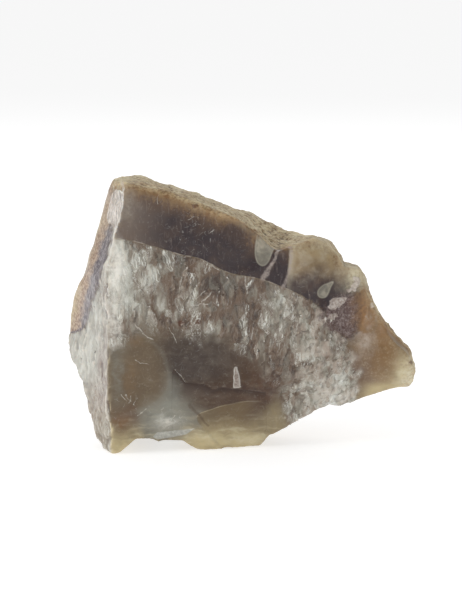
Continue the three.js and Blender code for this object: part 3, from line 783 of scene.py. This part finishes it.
class Nodes:
    """Short names for making a material's nodes. make and voronoi give back the node, and the other
    calls its output. A colour is an output or one of the tuples above, and a coat of colour is
    (share, colour) or (value, low, high, most, colour), which shows as the value nears high."""

    def __init__(self, material):
        material.use_nodes = True
        self.tree = material.node_tree
        self.tree.nodes.clear()

    def make(self, kind, **inputs):
        node = self.tree.nodes.new(kind)
        for name, value in inputs.items():
            self.plug(node, name, value)
        return node

    def plug(self, node, name, value):
        socket = node.inputs[name]
        if isinstance(value, bpy.types.NodeSocket):
            self.tree.links.new(value, socket)
        else:
            socket.default_value = value

    def show(self, **inputs):
        """Makes the material's shader."""
        shader = self.make("ShaderNodeBsdfPrincipled", **inputs)
        self.make("ShaderNodeOutputMaterial", Surface=shader.outputs[0])

    def field(self, name, output="Fac"):
        node = self.make("ShaderNodeAttribute")
        node.attribute_name = name
        return node.outputs[output]

    def math(self, operation, *values, kind="ShaderNodeMath", output=0):
        node = self.make(kind)
        node.operation = operation
        for k, value in enumerate(values):
            self.plug(node, k, value)
        return node.outputs[output]

    def vector(self, operation, *values, output=0):
        return self.math(operation, *values, kind="ShaderNodeVectorMath", output=output)

    def add(self, *values):
        return functools.reduce(lambda a, b: self.math("ADD", a, b), values)

    def times(self, *values):
        return functools.reduce(lambda a, b: self.math("MULTIPLY", a, b), values)

    def less(self, value):
        """1 minus the value."""
        return self.math("SUBTRACT", 1.0, value)

    def swing(self, value, amount):
        """A value of 0 to 1, as minus to plus half the amount."""
        return self.times(self.math("SUBTRACT", value, 0.5), amount)

    def unsigned(self, value):
        return self.math("ABSOLUTE", value)

    def ramp(self, value, low, high, to_low=0.0, to_high=1.0):
        node = self.make("ShaderNodeMapRange")
        node.interpolation_type = "SMOOTHSTEP"
        for k, item in enumerate((value, low, high, to_low, to_high)):
            self.plug(node, k, item)
        return node.outputs[0]

    def mix(self, factor, a, b):
        node = self.make("ShaderNodeMix")
        node.data_type = "RGBA"
        for k, value in ((0, factor), (6, a), (7, b)):
            self.plug(node, k, (*linear(value), 1.0) if isinstance(value, tuple) else value)
        return node.outputs[2]

    def coats(self, body, *coats):
        """The body under coats of colour, one over the other."""
        for *share, colour in coats:
            if len(share) > 1:
                value, low, high, most = share
                share = [self.ramp(value, low, high, 0.0, most)]
            body = self.mix(*share, body, colour)
        return body

    def channel(self, colour, k=0):
        return self.make("ShaderNodeSeparateColor", Color=colour).outputs[k]

    def scaled(self, at, size):
        """The place in units of size, in mm, one number or one for each axis."""
        sizes = size if isinstance(size, tuple) else (size, size, size)
        return self.vector("MULTIPLY", at, [1.0 / (s * MM) for s in sizes])

    def noise(self, at, size, detail=2.0, roughness=0.5, output="Fac"):
        """Noise of 0 to 1 in lumps of the given size."""
        at = self.scaled(at, size)
        node = self.make("ShaderNodeTexNoise", Vector=at, Scale=1.0, Detail=detail, Roughness=roughness)
        return node.outputs[output]

    def push(self, at, size, detail, roughness, reach):
        """A shift of up to about half of reach on each axis, by noise."""
        colour = self.noise(at, size, detail, roughness, "Color")
        return self.vector("MULTIPLY", self.vector("SUBTRACT", colour, (0.5, 0.5, 0.5)), reach)

    def bent(self, at, size, reach):
        """The place, pushed about by noise, by up to about half of reach in mm."""
        return self.vector("ADD", at, self.push(at, size, 2.0, 0.5, [reach * MM] * 3))

    def turned(self, at, angle):
        """The place, turned about Y."""
        node = self.make("ShaderNodeVectorRotate", Vector=at, Angle=angle)
        node.rotation_type = "Y_AXIS"
        return node.outputs[0]

    def voronoi(self, at, size, feature="F1"):
        node = self.make("ShaderNodeTexVoronoi", Vector=self.scaled(at, size), Scale=1.0)
        node.feature = feature
        return node

    def dots(self, at, size, share, radius):
        """Small round spots: how near the middle of its cell a point is, in a share of the cells."""
        node = self.voronoi(at, size)
        chosen = self.math("LESS_THAN", self.channel(node.outputs["Color"]), share)
        return self.times(self.ramp(node.outputs["Distance"], radius, 0.5 * radius), chosen)

    def wisps(self, at, size, width):
        """Thin lines where a noise passes its middle value, 0 to 1."""
        off_middle = self.unsigned(self.math("SUBTRACT", self.noise(at, size, 1.0, 0.4), 0.5))
        return self.ramp(off_middle, width, 0.2 * width)

    def scratches(self, at, size, share):
        """Short straight scratches, each at its own slant, in a share of the cells."""
        cell = self.voronoi(at, size)
        chosen, slant, strength = (self.channel(cell.outputs["Color"], k) for k in range(3))
        offset = self.vector("SUBTRACT", self.scaled(at, size), cell.outputs["Position"])
        turned = self.turned(offset, self.times(slant, math.pi))
        across, _, along = self.make("ShaderNodeSeparateXYZ", Vector=turned).outputs
        thin = self.ramp(self.unsigned(across), 0.11, 0.03)
        short = self.ramp(self.unsigned(along), 0.5, 0.3)
        return self.times(thin, short, strength, self.math("LESS_THAN", chosen, share))

    def far_from(self, place, middle):
        return self.vector("DISTANCE", place, (*middle, 0.0), output=1)

    def far_from_line(self, place, a, b):
        start, run = Vector((*a, 0.0)), Vector((*b, 0.0)) - Vector((*a, 0.0))
        offset = self.vector("SUBTRACT", place, start)
        along = self.vector("DOT_PRODUCT", offset, run / run.length_squared, output=1)
        along = self.math("MINIMUM", self.math("MAXIMUM", along, 0.0), 1.0)
        spread = self.make("ShaderNodeCombineXYZ", X=self.times(along, run.x), Y=self.times(along, run.y))
        return self.vector("LENGTH", self.vector("SUBTRACT", offset, spread.outputs[0]), output=1)

    def spots(self, place, discs, most, colour):
        """Coats of colour on discs."""
        return [(self.far_from(place, middle), radius, 0.5 * radius, most, colour)
                for middle, radius in discs]

    def lines(self, place, paths, most, colour):
        """Coats of colour along lines."""
        return [(self.far_from_line(place, a, b), 1.2 * half_width, 0.3 * half_width, most, colour)
                for a, b, half_width in paths]


class StoneNodes(Nodes):
    """Nodes for the stone, with the values that its coats share. Lengths are in mm, but for at."""

    def __init__(self, material):
        super().__init__(material)
        self.at = self.make("ShaderNodeTexCoord").outputs["Object"]
        split = self.make("ShaderNodeSeparateXYZ", Vector=self.at)
        self.u, self.y, z = (self.times(part, 1.0 / MM) for part in split.outputs)
        self.v = self.add(z, self.times(self.y, LOOK_SLOPE))
        self.place = self.make("ShaderNodeCombineXYZ", X=self.u, Y=self.v).outputs[0]
        self.left, self.deep, self.sharp = self.field("left"), self.field("deep"), self.field("sharp")
        self.skin, self.quartz = self.field("skin"), self.field("quartz")
        self.front = self.times(self.less(self.left), self.less(self.skin))
        self.grain = self.noise(self.at, 0.5, 3.0, 0.6)
        self.cloudy = self.noise(self.bent(self.at, 2.0, 1.5), 1.8, 3.0)

    def shaken(self, size, detail, roughness, reach):
        """(u, v, 0), pushed about by noise, by up to about half of reach."""
        push = self.push(self.at, size, detail, roughness, (reach, reach, 0.0))
        return self.vector("ADD", self.place, push)


# ----------------------------------------
# The stone's layers

QUARTZ_GRAIN = (1.4, 1.4, 3.0)  # mm


def waxy_colour(n):
    """Waxy chalcedony: its drifting colour, softly clouded, with the olive lobe. On it lies the
    shell at the bottom, pale below and tan above, with a pale upper edge."""
    cloud = n.noise(n.bent(n.at, 4.0, 2.0), 3.4, 2.0)
    milky = n.noise(n.bent(n.at, 2.4, 1.6), (4.0, 3.0, 0.9), 3.0, 0.55)
    olive, lip, lifted = n.field("olive"), n.field("lip"), n.times(cloud, 4.0)
    shell = n.mix(n.ramp(n.add(n.v, lifted), 2.4, 7.0), LIP_PALE, LIP_TAN)
    on_left = n.ramp(n.add(n.u, lifted), 6.5, 1.0)
    upper = n.times(n.ramp(n.v, 4.6, 6.0), on_left, n.ramp(cloud, 0.35, 0.6, 0.1, 0.5))
    low = n.ramp(n.v, 6.5, 1.0, 0.05, 0.4)
    speckled = n.ramp(n.field("nose"), 0.0, 1.0, 0.05, 0.3)
    return n.coats(
        n.field("tint", "Color"),
        (cloud, 0.45, 0.75, 0.12, CLOUD_PALE),
        (cloud, 0.5, 0.25, 0.3, CLOUD_DARK),
        (olive, -1.2, 1.6, 0.55, OLIVE),
        (n.unsigned(olive), 0.7, 0.1, 0.14, GREY_GREEN),
        (lip, -0.06, 0.14, n.times(on_left, 0.7), shell),
        (n.unsigned(lip), 0.16, 0.04, upper, LIP_PALE),
        (milky, 0.5, 0.72, low, CREAM_LIGHT),
        (milky, 0.46, 0.3, n.times(low, 0.7), OLIVE),
        (n.noise(n.at, 0.4, 3.0, 0.6), 0.48, 0.75, speckled, GRAIN_CREAM),
        (n.times(n.dots(n.at, 0.8, 0.1, 0.16), 0.2), PALE),
    )


def quartz_grains(n, bent):
    """The grain that a point is in: its own tone, how wispy it is and how it leans, each of 0 to 1,
    and its slant of light."""
    cell = n.voronoi(bent, QUARTZ_GRAIN, "SMOOTH_F1")
    n.plug(cell, "Smoothness", 0.35)
    own, wispy, lean = (n.channel(cell.outputs["Color"], k) for k in range(3))
    from_middle = n.vector("SUBTRACT", n.scaled(bent, QUARTZ_GRAIN), cell.outputs["Position"])
    along = n.vector("DOT_PRODUCT", from_middle, (0.8, 0.2, 0.5), output=1)
    return own, wispy, lean, n.times(along, n.math("SUBTRACT", lean, 0.3))


def pale_strokes(n, lean):
    """Fine pale strokes and curls that lean with their grain, 0 to 1."""
    hairs = n.turned(n.bent(n.at, 1.2, 0.5), n.add(n.times(lean, 0.8), -0.4))
    strokes = n.ramp(n.noise(hairs, (0.26, 0.26, 1.9), 2.0, 0.6), 0.5, 0.64)
    return n.math("MAXIMUM", strokes, n.times(n.wisps(hairs, (0.9, 0.9, 3.4), 0.03), 0.4))


def quartz_colour(n):
    """Splintery quartz: grains of brown, grey and grey-green, each with its own tone and painted slant of
    light, some of them filled with fine pale strokes, and painted shade in the crevices between them.
    The left face has its own drift of colour, with painted highlights on its knobs and painted shade in its
    hollows."""
    bright = n.add(n.field("bright"), n.times(n.left, 0.7))
    to_right = n.ramp(n.u, 2.0, 12.0)
    bent = n.bent(n.bent(n.at, 2.0, 1.2), 0.5, 0.4)
    own, wispy, lean, slant = quartz_grains(n, bent)
    small = n.channel(n.voronoi(bent, (0.8, 0.8, 1.1)).outputs["Color"])
    low = n.noise(n.at, (3.4, 3.4, 4.2), 1.5)
    fine = n.noise(n.bent(n.at, 2.0, 0.8), (0.4, 0.4, 1.2), 3.0, 0.6)
    columns = n.noise(n.bent(n.at, 2.0, 0.6), (0.9, 0.9, 4.0), 1.5)
    tone = n.add(
        n.times(own, n.ramp(to_right, 0.0, 1.0, 0.18, 0.1)),
        n.times(small, n.ramp(to_right, 0.0, 1.0, 0.12, 0.28)),
        n.times(columns, 0.4), n.times(low, 0.6), n.times(fine, 0.32),
        n.times(slant, 0.22), n.times(bright, 0.3), -0.38,
    )
    filled = n.ramp(n.add(wispy, n.times(bright, 0.35), n.times(low, 0.35)), 0.8, 1.05, 0.1, 0.8)
    filled = n.times(filled, n.less(n.times(to_right, 0.4)), n.less(n.times(n.left, 0.35)))
    return n.coats(
        QUARTZ_DARK,
        (tone, 0.18, 0.42, 1.0, QUARTZ_BROWN),
        (tone, 0.4, 0.62, 1.0, QUARTZ_GREY),
        (tone, 0.58, 0.84, 1.0, QUARTZ_PALE),
        (tone, 0.8, 1.04, 1.0, QUARTZ_WHITE),
        (lean, 0.5, 0.75, 0.3, QUARTZ_GREEN),
        (n.noise(n.at, 2.2, 2.0), 0.42, 0.6, n.ramp(n.u, 6.0, 14.0, 0.0, 0.5), PINK_WHITE),
        # painted shade: darker in the crevices between the crystals
        (n.sharp, -0.015, -0.07, 0.35, QUARTZ_DARK),
        (n.times(filled, 0.2), QUARTZ_PALE),
        (n.times(n.left, 0.5), n.field("side_tint", "Color")),
        # painted highlight on the knobs of the left face, then painted shade in its hollows
        (n.sharp, 0.02, 0.13, n.times(n.left, 0.45), WARM_WHITE),
        (n.sharp, -0.02, -0.13, n.times(n.left, 0.25), MAUVE),
        (n.times(pale_strokes(n, lean), filled), QUARTZ_WISP),
    )


def band_colour(n):
    """The dark band: plum-grey, greyer at the left, browner towards the rind, with light specks and
    fine streaks, and paler on the left face."""
    cloud = n.noise(n.at, 5.0, 2.0)
    near_rind = n.add(n.deep, n.times(cloud, 2.0), n.times(n.noise(n.at, 0.5, 3.0, 0.7), 1.2))
    streaks = n.noise(n.bent(n.at, 2.0, 0.6), (0.35, 0.35, 2.4), 3.0, 0.6)
    tall_grain = n.noise(n.at, (0.4, 0.4, 0.9), 3.0, 0.65)
    return n.coats(
        BAND_GREY,
        (n.add(n.u, n.times(cloud, 4.0)), -20.0, -8.0, 1.0, BAND_DARK),
        (near_rind, 6.5, 2.2, 1.0, BAND_BROWN),
        (n.noise(n.bent(n.at, 2.0, 1.0), 2.4, 3.0), 0.42, 0.7, 0.2, BAND_BROWN),
        (streaks, 0.54, 0.78, 0.35, BAND_STREAK),
        (n.times(n.dots(n.at, 0.9, 0.2, 0.14), 0.4), BAND_SPECK),
        (n.left, n.mix(n.ramp(tall_grain, 0.4, 0.65), BAND_SIDE_DARK, BAND_SIDE_PALE)),
    )


def rind_colour(n):
    """Weathered rind: fine tan grains in brown, paler and greyer in patches, rusty in spots,
    paler high on the back, and darker in its hollows as painted shade."""
    grain = n.noise(n.at, 0.5, 3.0, 0.65)
    cloud = n.noise(n.bent(n.at, 5.0, 3.0), 4.5, 4.0, 0.6)
    crust = n.noise(n.at, 1.1, 3.0, 0.6)
    rusty = n.add(n.noise(n.at, 1.6, 3.0, 0.6), n.ramp(n.deep, 0.1, 1.2, 0.0, 0.05))
    high_behind = n.times(n.ramp(n.y, -10.0, -2.0), n.ramp(n.v, 22.0, 32.0), 0.4)
    return n.coats(
        RIND_BROWN,
        (n.add(grain, n.times(crust, 0.5)), 0.55, 0.92, 1.0, RIND_TAN),
        (n.add(cloud, n.times(grain, 0.25)), 0.58, 0.8, 0.75, RIND_PALE),
        (n.add(cloud, n.times(crust, 0.4)), 0.62, 0.45, 0.6, RIND_GREY),
        (n.deep, 0.1, 1.2, 0.35, RIND_ORANGE),
        (n.deep, 0.4, 2.0, 0.8, RIND_BROWN),
        (rusty, 0.58, 0.72, 0.6, RUST),
        (n.times(n.dots(n.bent(n.at, 0.9, 1.0), 1.1, 0.3, 0.34), 0.45), RIND_OLIVE),
        (grain, 0.3, 0.65, high_behind, CREAM_LIGHT),
        # painted shade: darker in the hollows of the skin
        (n.sharp, -0.01, -0.08, 0.6, RIND_HOLLOW_SHADE),
    )


def inner_stone(n):
    """The waxy stone, the quartz, and the dark band with a pale line along its lower edge."""
    band = n.field("band")
    layer = n.add(band, n.times(n.left, n.swing(n.grain, 2.0)),
                  n.times(n.ramp(n.u, 7.0, 13.0), n.swing(n.grain, 2.4)))
    blurred = n.add(n.times(n.left, 0.5), n.ramp(n.u, 8.0, 18.0, 0.0, 0.9))
    in_band = n.ramp(layer, n.math("SUBTRACT", -0.04, blurred), n.add(blurred, 0.06))
    broken = n.ramp(n.noise(n.at, 1.5, 2.0), 0.4, 0.65, 0.0, 0.5)
    line = n.times(n.front, n.ramp(n.u, 12.0, 8.0), broken)
    return n.coats(
        waxy_colour(n),
        (n.quartz, quartz_colour(n)),
        (in_band, band_colour(n)),
        (n.unsigned(band), 0.16, 0.03, line, EDGE_LIGHT),
    )


# ----------------------------------------
# What lies over the layers, and the painted light and shade, each given as a list of coats

def purple_patch(n):
    """The purple patch, sparkling with small crystals."""
    crystals = n.coats(PURPLE, (n.noise(n.at, 0.42, 4.0, 0.75), 0.4, 0.72, 0.8, PINK_GREY))
    ragged = n.swing(n.noise(n.at, 1.2, 4.0, 0.7), 5.0)
    return [(n.add(n.field("purple"), ragged), -0.7, 0.9, 0.9, crystals)]


def tan_lump(n):
    """The tan lump: tan at the top, and down to brown over the dark band."""
    inside = n.field("lump")
    level = n.add(n.v, n.times(n.grain, 1.2), n.times(n.noise(n.at, 3.0, 1.0), 4.0))
    lump = n.coats(
        LUMP_TAN,
        (level, 37.5, 30.5, 1.0, LUMP_BROWN),
        (n.cloudy, 0.45, 0.75, 0.5, LUMP_PALE),
        (inside, 1.6, 0.2, 0.7, LUMP_PALE),
    )
    return [(inside, -0.15, 0.3, n.ramp(level, 29.0, 35.5), lump)]


def rind(n, depth):
    """The rind, under the skin and down the left face."""
    inside = n.field("rind_side")
    side = n.coats(
        SIDE_RIND_DARK,
        (n.grain, 0.38, 0.64, 1.0, SIDE_RIND_PALE),
        (inside, 0.8, 2.4, 0.6, RIND_PALE),
    )
    spread = n.add(inside, n.swing(n.grain, 1.2))
    return [(depth, 2.8, 0.9, 1.0, rind_colour(n)), (spread, -0.6, 0.6, 1.0, side)]


def stains(n):
    """The stains, patchy, and weak on the left face."""
    patchy = n.ramp(n.noise(n.at, 0.6, 3.0, 0.6), 0.35, 0.6, 0.55, 1.0)
    worn = n.times(n.field("stained"), patchy, n.less(n.times(n.left, 0.7)))
    return [(worn, n.field("stain", "Color"))]


def flakes(n):
    """Pale flakes, of which the left one has a light rim, and the worn facet."""
    flake = n.field("flake")
    flake_colour = n.mix(n.ramp(n.grain, 0.35, 0.65), FLAKE_PALE, FLAKE_LIGHT)
    facet_colour = n.mix(n.ramp(n.grain, 0.4, 0.65), FACET_COLD, FACET_PALE)
    rim = n.unsigned(n.add(flake, -0.1))
    return [
        (flake, -0.08, 0.1, n.ramp(n.u, 4.0, 8.0, 0.507, 0.78), flake_colour),
        (rim, 0.16, 0.04, n.ramp(n.u, 8.0, 4.0, 0.0, 0.35), QUARTZ_WISP),
        (n.field("facet"), -0.08, 0.1, 0.8, facet_colour),
    ]


def lobes(n):
    """Grey-green lobes over the dark band, with lighter rims, fading out at the top."""
    inside = n.field("lobe")
    lobe = n.mix(n.ramp(n.cloudy, 0.35, 0.7), LOBE_GREY, LOBE_RIM)
    shown = n.ramp(n.add(n.v, n.times(n.grain, 3.0)), 39.6, 37.6)
    return [
        (inside, -0.06, 0.06, n.times(shown, 0.85), lobe),
        (n.unsigned(inside), 0.2, 0.04, n.times(shown, 0.35), LOBE_RIM),
    ]


def glossy_chip(n):
    """The glossy chip high on the left face: pale streaks, partly painted sheen of its gloss, a painted
    highlight along its right rim, and fine cracks.
    """
    inside = n.field("gloss")
    streaky_sheen = n.noise(n.bent(n.at, 1.5, 0.8), (0.3, 0.5, 1.6), 3.0, 0.6)
    chip = n.coats(
        GLOSS_GREY,
        # pale streaks: partly the chip's colour and partly painted sheen
        (streaky_sheen, 0.42, 0.62, 1.0, GLOSS_PALE_SHEEN),
        # painted highlight along the chip's right rim
        (inside, 0.5, 0.1, n.ramp(n.u, -22.2, -21.2), QUARTZ_WISP),
    )
    cracks = n.lines(n.place, CRACKS, n.times(n.left, 0.6), SPECK_DARK)
    return [(inside, -0.06, 0.1, n.times(n.left, 0.9), chip), *cracks]


def step_shadow(n):
    """Painted shadow just under the step's overhang, darkest along its crack and fading downwards."""
    below = n.field("crack")
    return [(below, 0.0, 0.12, n.times(n.ramp(below, 1.6, 0.2), n.front, 0.75), CRACK_AND_SHADE_BROWN)]


def scuffed(n):
    """Fine curls and scratches that crowd together about the scuffed places."""
    curls = n.times(n.wisps(n.bent(n.at, 1.2, 0.9), 0.9, 0.03), n.ramp(n.noise(n.at, 0.7, 2.0), 0.5, 0.62))
    lines = n.math("MAXIMUM", curls, n.times(n.scratches(n.bent(n.at, 0.8, 0.5), 1.1, 0.5), 0.7))
    clustered = n.times(n.noise(n.at, 1.6, 1.0), 9.0)
    total = 0.0
    for middle, reach, strength in SCUFFED:
        far = n.add(n.far_from(n.place, middle), clustered)
        total = n.math("MAXIMUM", total, n.ramp(far, reach + 5.0, reach + 2.0, 0.0, strength))
    return [(n.times(lines, n.add(total, 0.06), n.front), QUARTZ_WISP)]


def marks(n):
    """Spots, veins, creases and hairlines."""
    ragged = n.shaken(0.5, 3.0, 0.6, 1.4)
    wavy = n.shaken(1.2, 2.0, 0.5, 0.8)
    veined = n.ramp(n.noise(n.at, 0.7, 3.0, 0.6), 0.32, 0.62, 0.25, 0.75)
    broken = n.ramp(n.noise(n.at, 0.5, 2.0), 0.36, 0.6, 0.15, 0.55)
    return [
        *n.spots(ragged, RUST_SPOTS, n.times(n.front, 0.8), SPOT_BROWN),
        *n.spots(ragged, DARK_SPECKS, n.times(n.less(n.skin), 0.8), SPECK_DARK),
        *n.lines(wavy, VEINS, n.times(n.front, veined), VEIN_PINK),
        *n.lines(wavy, CREASES, n.times(n.front, 0.4), UMBER),
        *n.lines(wavy, HAIRLINES, n.times(n.front, broken), HAIR_PALE),
    ]


def edge_light(n, depth):
    """Light that comes through where the stone is thin, and that catches on its edges."""
    glow = n.mix(n.math("MAXIMUM", n.left, n.quartz), THIN_GLOW_CREAM, THIN_GLOW_COLD)
    clear = n.times(n.ramp(depth, 0.5, 3.0, 0.5, 1.0), n.ramp(n.field("band"), 0.3, -0.3, 0.3, 1.0))
    crisp = n.add(n.times(n.quartz, 0.22), n.ramp(n.noise(n.at, 1.2, 2.0), 0.45, 0.65, 0.0, 0.16))
    return [
        (n.field("thin"), 0.15, 0.42, n.times(clear, 0.75), glow),
        (n.sharp, 0.03, 0.12, crisp, EDGE_LIGHT),
    ]


def stone_colour(n):
    """The layers, and over them one coat after the other."""
    tongues = n.noise(n.at, (0.5, 0.5, 2.4), 3.0, 0.6)
    depth = n.add(n.deep, n.swing(tongues, 2.2), n.swing(n.grain, 3.2))
    return n.coats(
        inner_stone(n), *purple_patch(n), *tan_lump(n), *rind(n, depth), *stains(n), *flakes(n),
        *lobes(n), *glossy_chip(n), *step_shadow(n), *marks(n), *scuffed(n), *edge_light(n, depth),
    )


def stone_roughness(n):
    """Dull on the weathered skin, waxy on the fresh face, and glossy on the chip."""
    weathered = n.math("MAXIMUM", n.skin, n.ramp(n.deep, 2.0, 0.5))
    dull = n.add(n.times(weathered, 0.33), n.times(n.quartz, 0.12), 0.36)
    return n.math("SUBTRACT", dull, n.ramp(n.field("gloss"), -0.1, 0.1, 0.0, 0.2))


def stone_bump(n):
    """Relief finer than the mesh: grains on the skin and fibres in the quartz."""
    fine = n.noise(n.at, 0.4, 3.0, 0.6)
    fibres = n.noise(n.bent(n.at, 1.8, 0.8), (0.4, 0.4, 1.4), 3.0, 0.6)
    height = n.add(n.times(fine, n.ramp(n.skin, 0.0, 1.0, 0.12, 1.0)),
                   n.times(fibres, n.ramp(n.quartz, 0.0, 1.0, 0.08, 1.0)))
    return n.make("ShaderNodeBump", Height=height, Strength=0.6, Distance=0.12 * MM).outputs[0]


def stone_material():
    material = bpy.data.materials.new("agate_stone")
    n = StoneNodes(material)
    n.show(**{
        "Base Color": stone_colour(n),
        "Roughness": stone_roughness(n),
        "Normal": stone_bump(n),
        "IOR": 1.54,
        "Specular IOR Level": 0.35,
        "Subsurface Weight": 0.3,
        "Subsurface Radius": (1.0, 0.75, 0.55),
        "Subsurface Scale": 0.8 * MM,
    })
    return material


# ----------------------------------------
# The studio

FLOOR_RADIUS = 6.0  # metres
WHITE = (1.0, 1.0, 1.0, 1.0)
WORLD_LIGHT = 0.55
# Soft square lights: name, place and side in metres, and power in watts.
LIGHTS = [
    ("left_key", (-0.55, -0.30, 0.35), 0.35, 2.0),
    ("back_top", (0.10, 0.50, 0.55), 0.45, 1.2),
    ("front_fill", (0.35, -0.75, 0.25), 0.6, 1.2),
]


def area_light(name, at, size, power):
    """A light that faces the stone."""
    lamp = bpy.data.lights.new(name, "AREA")
    lamp.size = size
    lamp.energy = power
    holder = placed(name, lamp)
    holder.location = at
    holder.rotation_euler = (Vector(CAMERA_TARGET) * MM - Vector(at)).to_track_quat("-Z", "Y").to_euler()


def pale_floor():
    """A wide round floor, pale, dull and slightly bright of itself."""
    mesh = bpy.data.meshes.new("floor")
    bm = bmesh.new()
    bmesh.ops.create_circle(bm, cap_ends=True, segments=96, radius=FLOOR_RADIUS)
    bm.to_mesh(mesh)
    bm.free()
    material = bpy.data.materials.new("pale_floor")
    Nodes(material).show(**{
        "Base Color": (0.6, 0.6, 0.6, 1.0),
        "Roughness": 1.0,
        "Specular IOR Level": 0.0,
        "Emission Color": WHITE,
        "Emission Strength": 0.6,
    })
    mesh.materials.append(material)
    return placed("floor", mesh)


def studio():
    """The floor, an even white world and three soft lights."""
    floor = pale_floor()
    world = bpy.data.worlds.new("studio")
    world.use_nodes = True
    background = world.node_tree.nodes["Background"]
    background.inputs["Color"].default_value = WHITE
    background.inputs["Strength"].default_value = WORLD_LIGHT
    bpy.context.scene.world = world
    for light in LIGHTS:
        area_light(*light)


def camera():
    """The camera, at the angle that the broken face is looked at from."""
    lens = bpy.data.cameras.new("camera")
    lens.lens = CAMERA_LENS
    lens.sensor_width = CAMERA_SENSOR
    eye = placed("camera", lens)
    eye.location = (Vector(CAMERA_TARGET) + CAMERA_DISTANCE * Vector(LOOK_BACK)) * MM
    eye.rotation_euler = (math.radians(90 - LOOK_DOWN), 0.0, 0.0)
    bpy.context.scene.camera = eye


bpy.context.scene.view_settings.view_transform = "Standard"
camera()
studio()
stone = make_stone()
stone.data.materials.clear()
stone.data.materials.append(stone_material())
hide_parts("agate")
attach(stone, "root")
